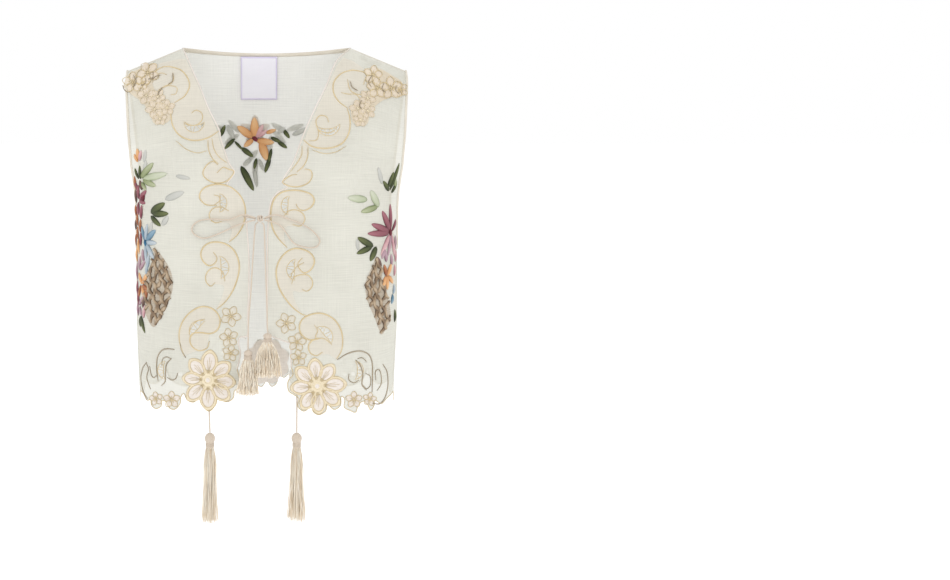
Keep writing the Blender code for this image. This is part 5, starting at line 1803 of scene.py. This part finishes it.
def cut_edge(soup, view, px, py, radius, first, last, widest):
    """The stitched edge of a cutwork crescent and the bars across it."""
    loop = [on_pattern(*p, view) for p in crescent(px, py, radius, first, last, widest)]
    ridge(soup, view, loop, 0.0011, 0.0006, closed=True)
    for i in range(CUTWORK_BARS):
        share = 0.2 + 0.6 * i / (CUTWORK_BARS - 1)
        ends = []
        for slant, side in ((-0.05, 1), (0.05, -1)):
            at = share + slant * (1 if i % 2 else -1)
            turn = math.radians(first + (last - first) * at)
            reach = radius + side * widest / 2 * math.sin(math.pi * at)
            ends.append(on_pattern(px + reach * math.cos(turn), py + reach * math.sin(turn), view))
        ridge(soup, view, filled(ends, 0.0015), 0.0007, 0.0005, ends=1.0)


def ribbon_work():
    """The ribbon bouquets, the spray on the back and the two baskets."""
    paints = {colour: ribbon_satin("ribbon_" + colour, *tones) for colour, tones in RIBBON_COLOURS.items()}
    for side, colours in RIBBONS.items():
        for colour, rows in colours.items():
            rise = INSIDE_RISE if side == "inside" else FLAT_RISE if colour == "grey" else RIBBON_RISE
            soup = Soup()
            for root_x, root_y, tip_x, tip_y, width in rows:
                ribbon(soup, side, (root_x, root_y), (tip_x, tip_y), width, rise)
            soup.build("ribbon_" + side + "_" + colour, paints[colour])
    brown = ribbon_satin("ribbon_brown", (0.27, 0.185, 0.11), (0.50, 0.39, 0.27), (0.085, 0.05, 0.03))
    backing = organza("basket_backing", (0.60, 0.52, 0.42), (0.44, 0.36, 0.27), 0.6, 0.85)
    for side, row in zip(("left", "right"), BASKETS):
        ground = Soup()
        overlay(ground, "front_" + side, "front", row[0], ON_CLOTH + 0.0002)
        ground.build("basket_ground_" + side, backing)
        lattice = Soup()
        basket(lattice, "front", *row)
        lattice.build("ribbon_basket_" + side, brown)


def tasselled(name, family, points, count, material, tassel_material):
    """A hanging cord with its tassel at the last point."""
    top = points[-1] - Vector((0, 0, SEAM_GAP))
    head = tassel(name.replace(family, "tassel_" + family.split("_")[0]), top, tassel_material, material)
    line = rounded(points, count)
    cord_tube(name, line, material, far_end="fitting", stiffness="limp", lay="hanging", with_pieces=[head])


def make_cords(material, tassel_material):
    """Ties, bow, hanging ends and their tassels."""
    for name, start_px in TIES.items():
        start = before_cloth(*start_px, WALL + SEAM_GAP + CORD_RADIUS + 0.0001)
        side = 1 if start_px[0] > KNOT_PX[0] else -1
        end = before_cloth(*KNOT_PX, KNOT_OUT) + Vector((side * TIE_END[0], TIE_END[1], 0))
        cord_tube(name, rounded([start, start.lerp(end, 0.5), end], 40), material)
    for name, route in LOOPS.items():
        last = len(route) - 1
        near = [0.0022 * max(0.0, 1 - i / 2) + 0.0028 * max(0.0, 1 - (last - i) / 2) for i in range(last + 1)]
        lifted = [before_cloth(*p, LOOP_OUT + lift) for p, lift in zip(route, near)]
        line = rounded([knot_exit(lifted[0])] + lifted + [knot_exit(lifted[-1])], 260)
        cord_tube(name, line, material, far_end="object", stiffness="limp", lay="hanging")
    for name, route in FREE_ENDS.items():
        last = len(route) - 1
        lifted = [before_cloth(*p, END_OUT + 0.0065 * smooth(i / last)) for i, p in enumerate(route)]
        tasselled(name, "bow_end", [knot_exit(lifted[0])] + lifted, 260, material, tassel_material)
    for name, ends in HEM_CORDS.items():
        start = before_cloth(*ends["top"], -CORD_RADIUS - SEAM_GAP)
        inner = start.y + 0.003
        x, z = from_photo(*ends["end"], inner, "front")
        bend = Vector((start.x, inner, start.z - 0.012))
        end = Vector((x, inner, z))
        tasselled(name, "hem_cord", [start, bend, bend.lerp(end, 0.5), end], 130, material, tassel_material)
    knot(material)


make_camera()
make_stage()
cord_yarn = yarn("cord_yarn", (0.74, 0.65, 0.55), (0.50, 0.41, 0.32))
# Painted light: the tassel strands are painted lighter than the cord yarn to make up for the shade among the
# strands
tassel_yarn_lightened = loose_yarn("tassel_yarn_lightened", (1.0, 0.94, 0.82), (0.82, 0.67, 0.49))
make_cords(cord_yarn, tassel_yarn_lightened)

front_organza = organza("front_organza", (0.690, 0.680, 0.602), (0.605, 0.593, 0.520), 0.72, 0.84)
# Painted light: the back is the same organza as the fronts, painted lighter to stand in for the light that
# comes through the cloth into the shaded inside
back_organza_lightened = organza("back_organza_lightened", (0.785, 0.780, 0.728), (0.720, 0.712, 0.656), 0.68, 0.81)
binding_cloth = organza("binding_cloth", (0.76, 0.71, 0.62), (0.66, 0.60, 0.50), 0.98, 1.0)
applique_organza = organza("applique_organza", (0.82, 0.755, 0.700), (0.72, 0.650, 0.575), 0.9, 1.0)
label_weave = organza("label_weave", (0.86, 0.85, 0.90), (0.82, 0.80, 0.87), 0.99, 1.0)
label_edge = organza("label_edge", (0.74, 0.69, 0.84), (0.66, 0.61, 0.78), 0.99, 1.0)

front_shell("front_left", front_organza)
front_shell("front_right", front_organza)
back_shell(back_organza_lightened)
armhole_band("armhole_binding_left", -1, binding_cloth)
armhole_band("armhole_binding_right", 1, binding_cloth)
neck_band(binding_cloth)
seams(binding_cloth)
bare_label(label_weave, label_edge)
shoulder_petals = organza("shoulder_petals", (0.770, 0.680, 0.560), (0.640, 0.545, 0.425), 0.95, 1.0)
embroider(
    {
        "scroll_ground": organza("scroll_organza", (0.720, 0.680, 0.592), (0.670, 0.628, 0.538), 0.84, 0.96),
        "lace_ground": organza("shoulder_lace", (0.720, 0.640, 0.510), (0.640, 0.555, 0.425), 0.86, 0.98),
        "shoulder_petals": shoulder_petals,
        "flower_reverse": applique_organza,
        "satin_lines": thread_satin("gold_thread", (0.80, 0.66, 0.40), (0.56, 0.43, 0.22)),
        # Brown thread of the darker side lines and back scrolls, also used for the painted shade between the
        # shoulder flowers
        "brown_lines_and_shade": thread_satin("brown_thread_and_shade", (0.46, 0.38, 0.26), (0.25, 0.19, 0.12)),
        "satin_flower": thread_satin("petal_thread", (0.90, 0.80, 0.60), (0.74, 0.61, 0.40)),
        "applique": applique_organza,
    }
)
ribbon_work()
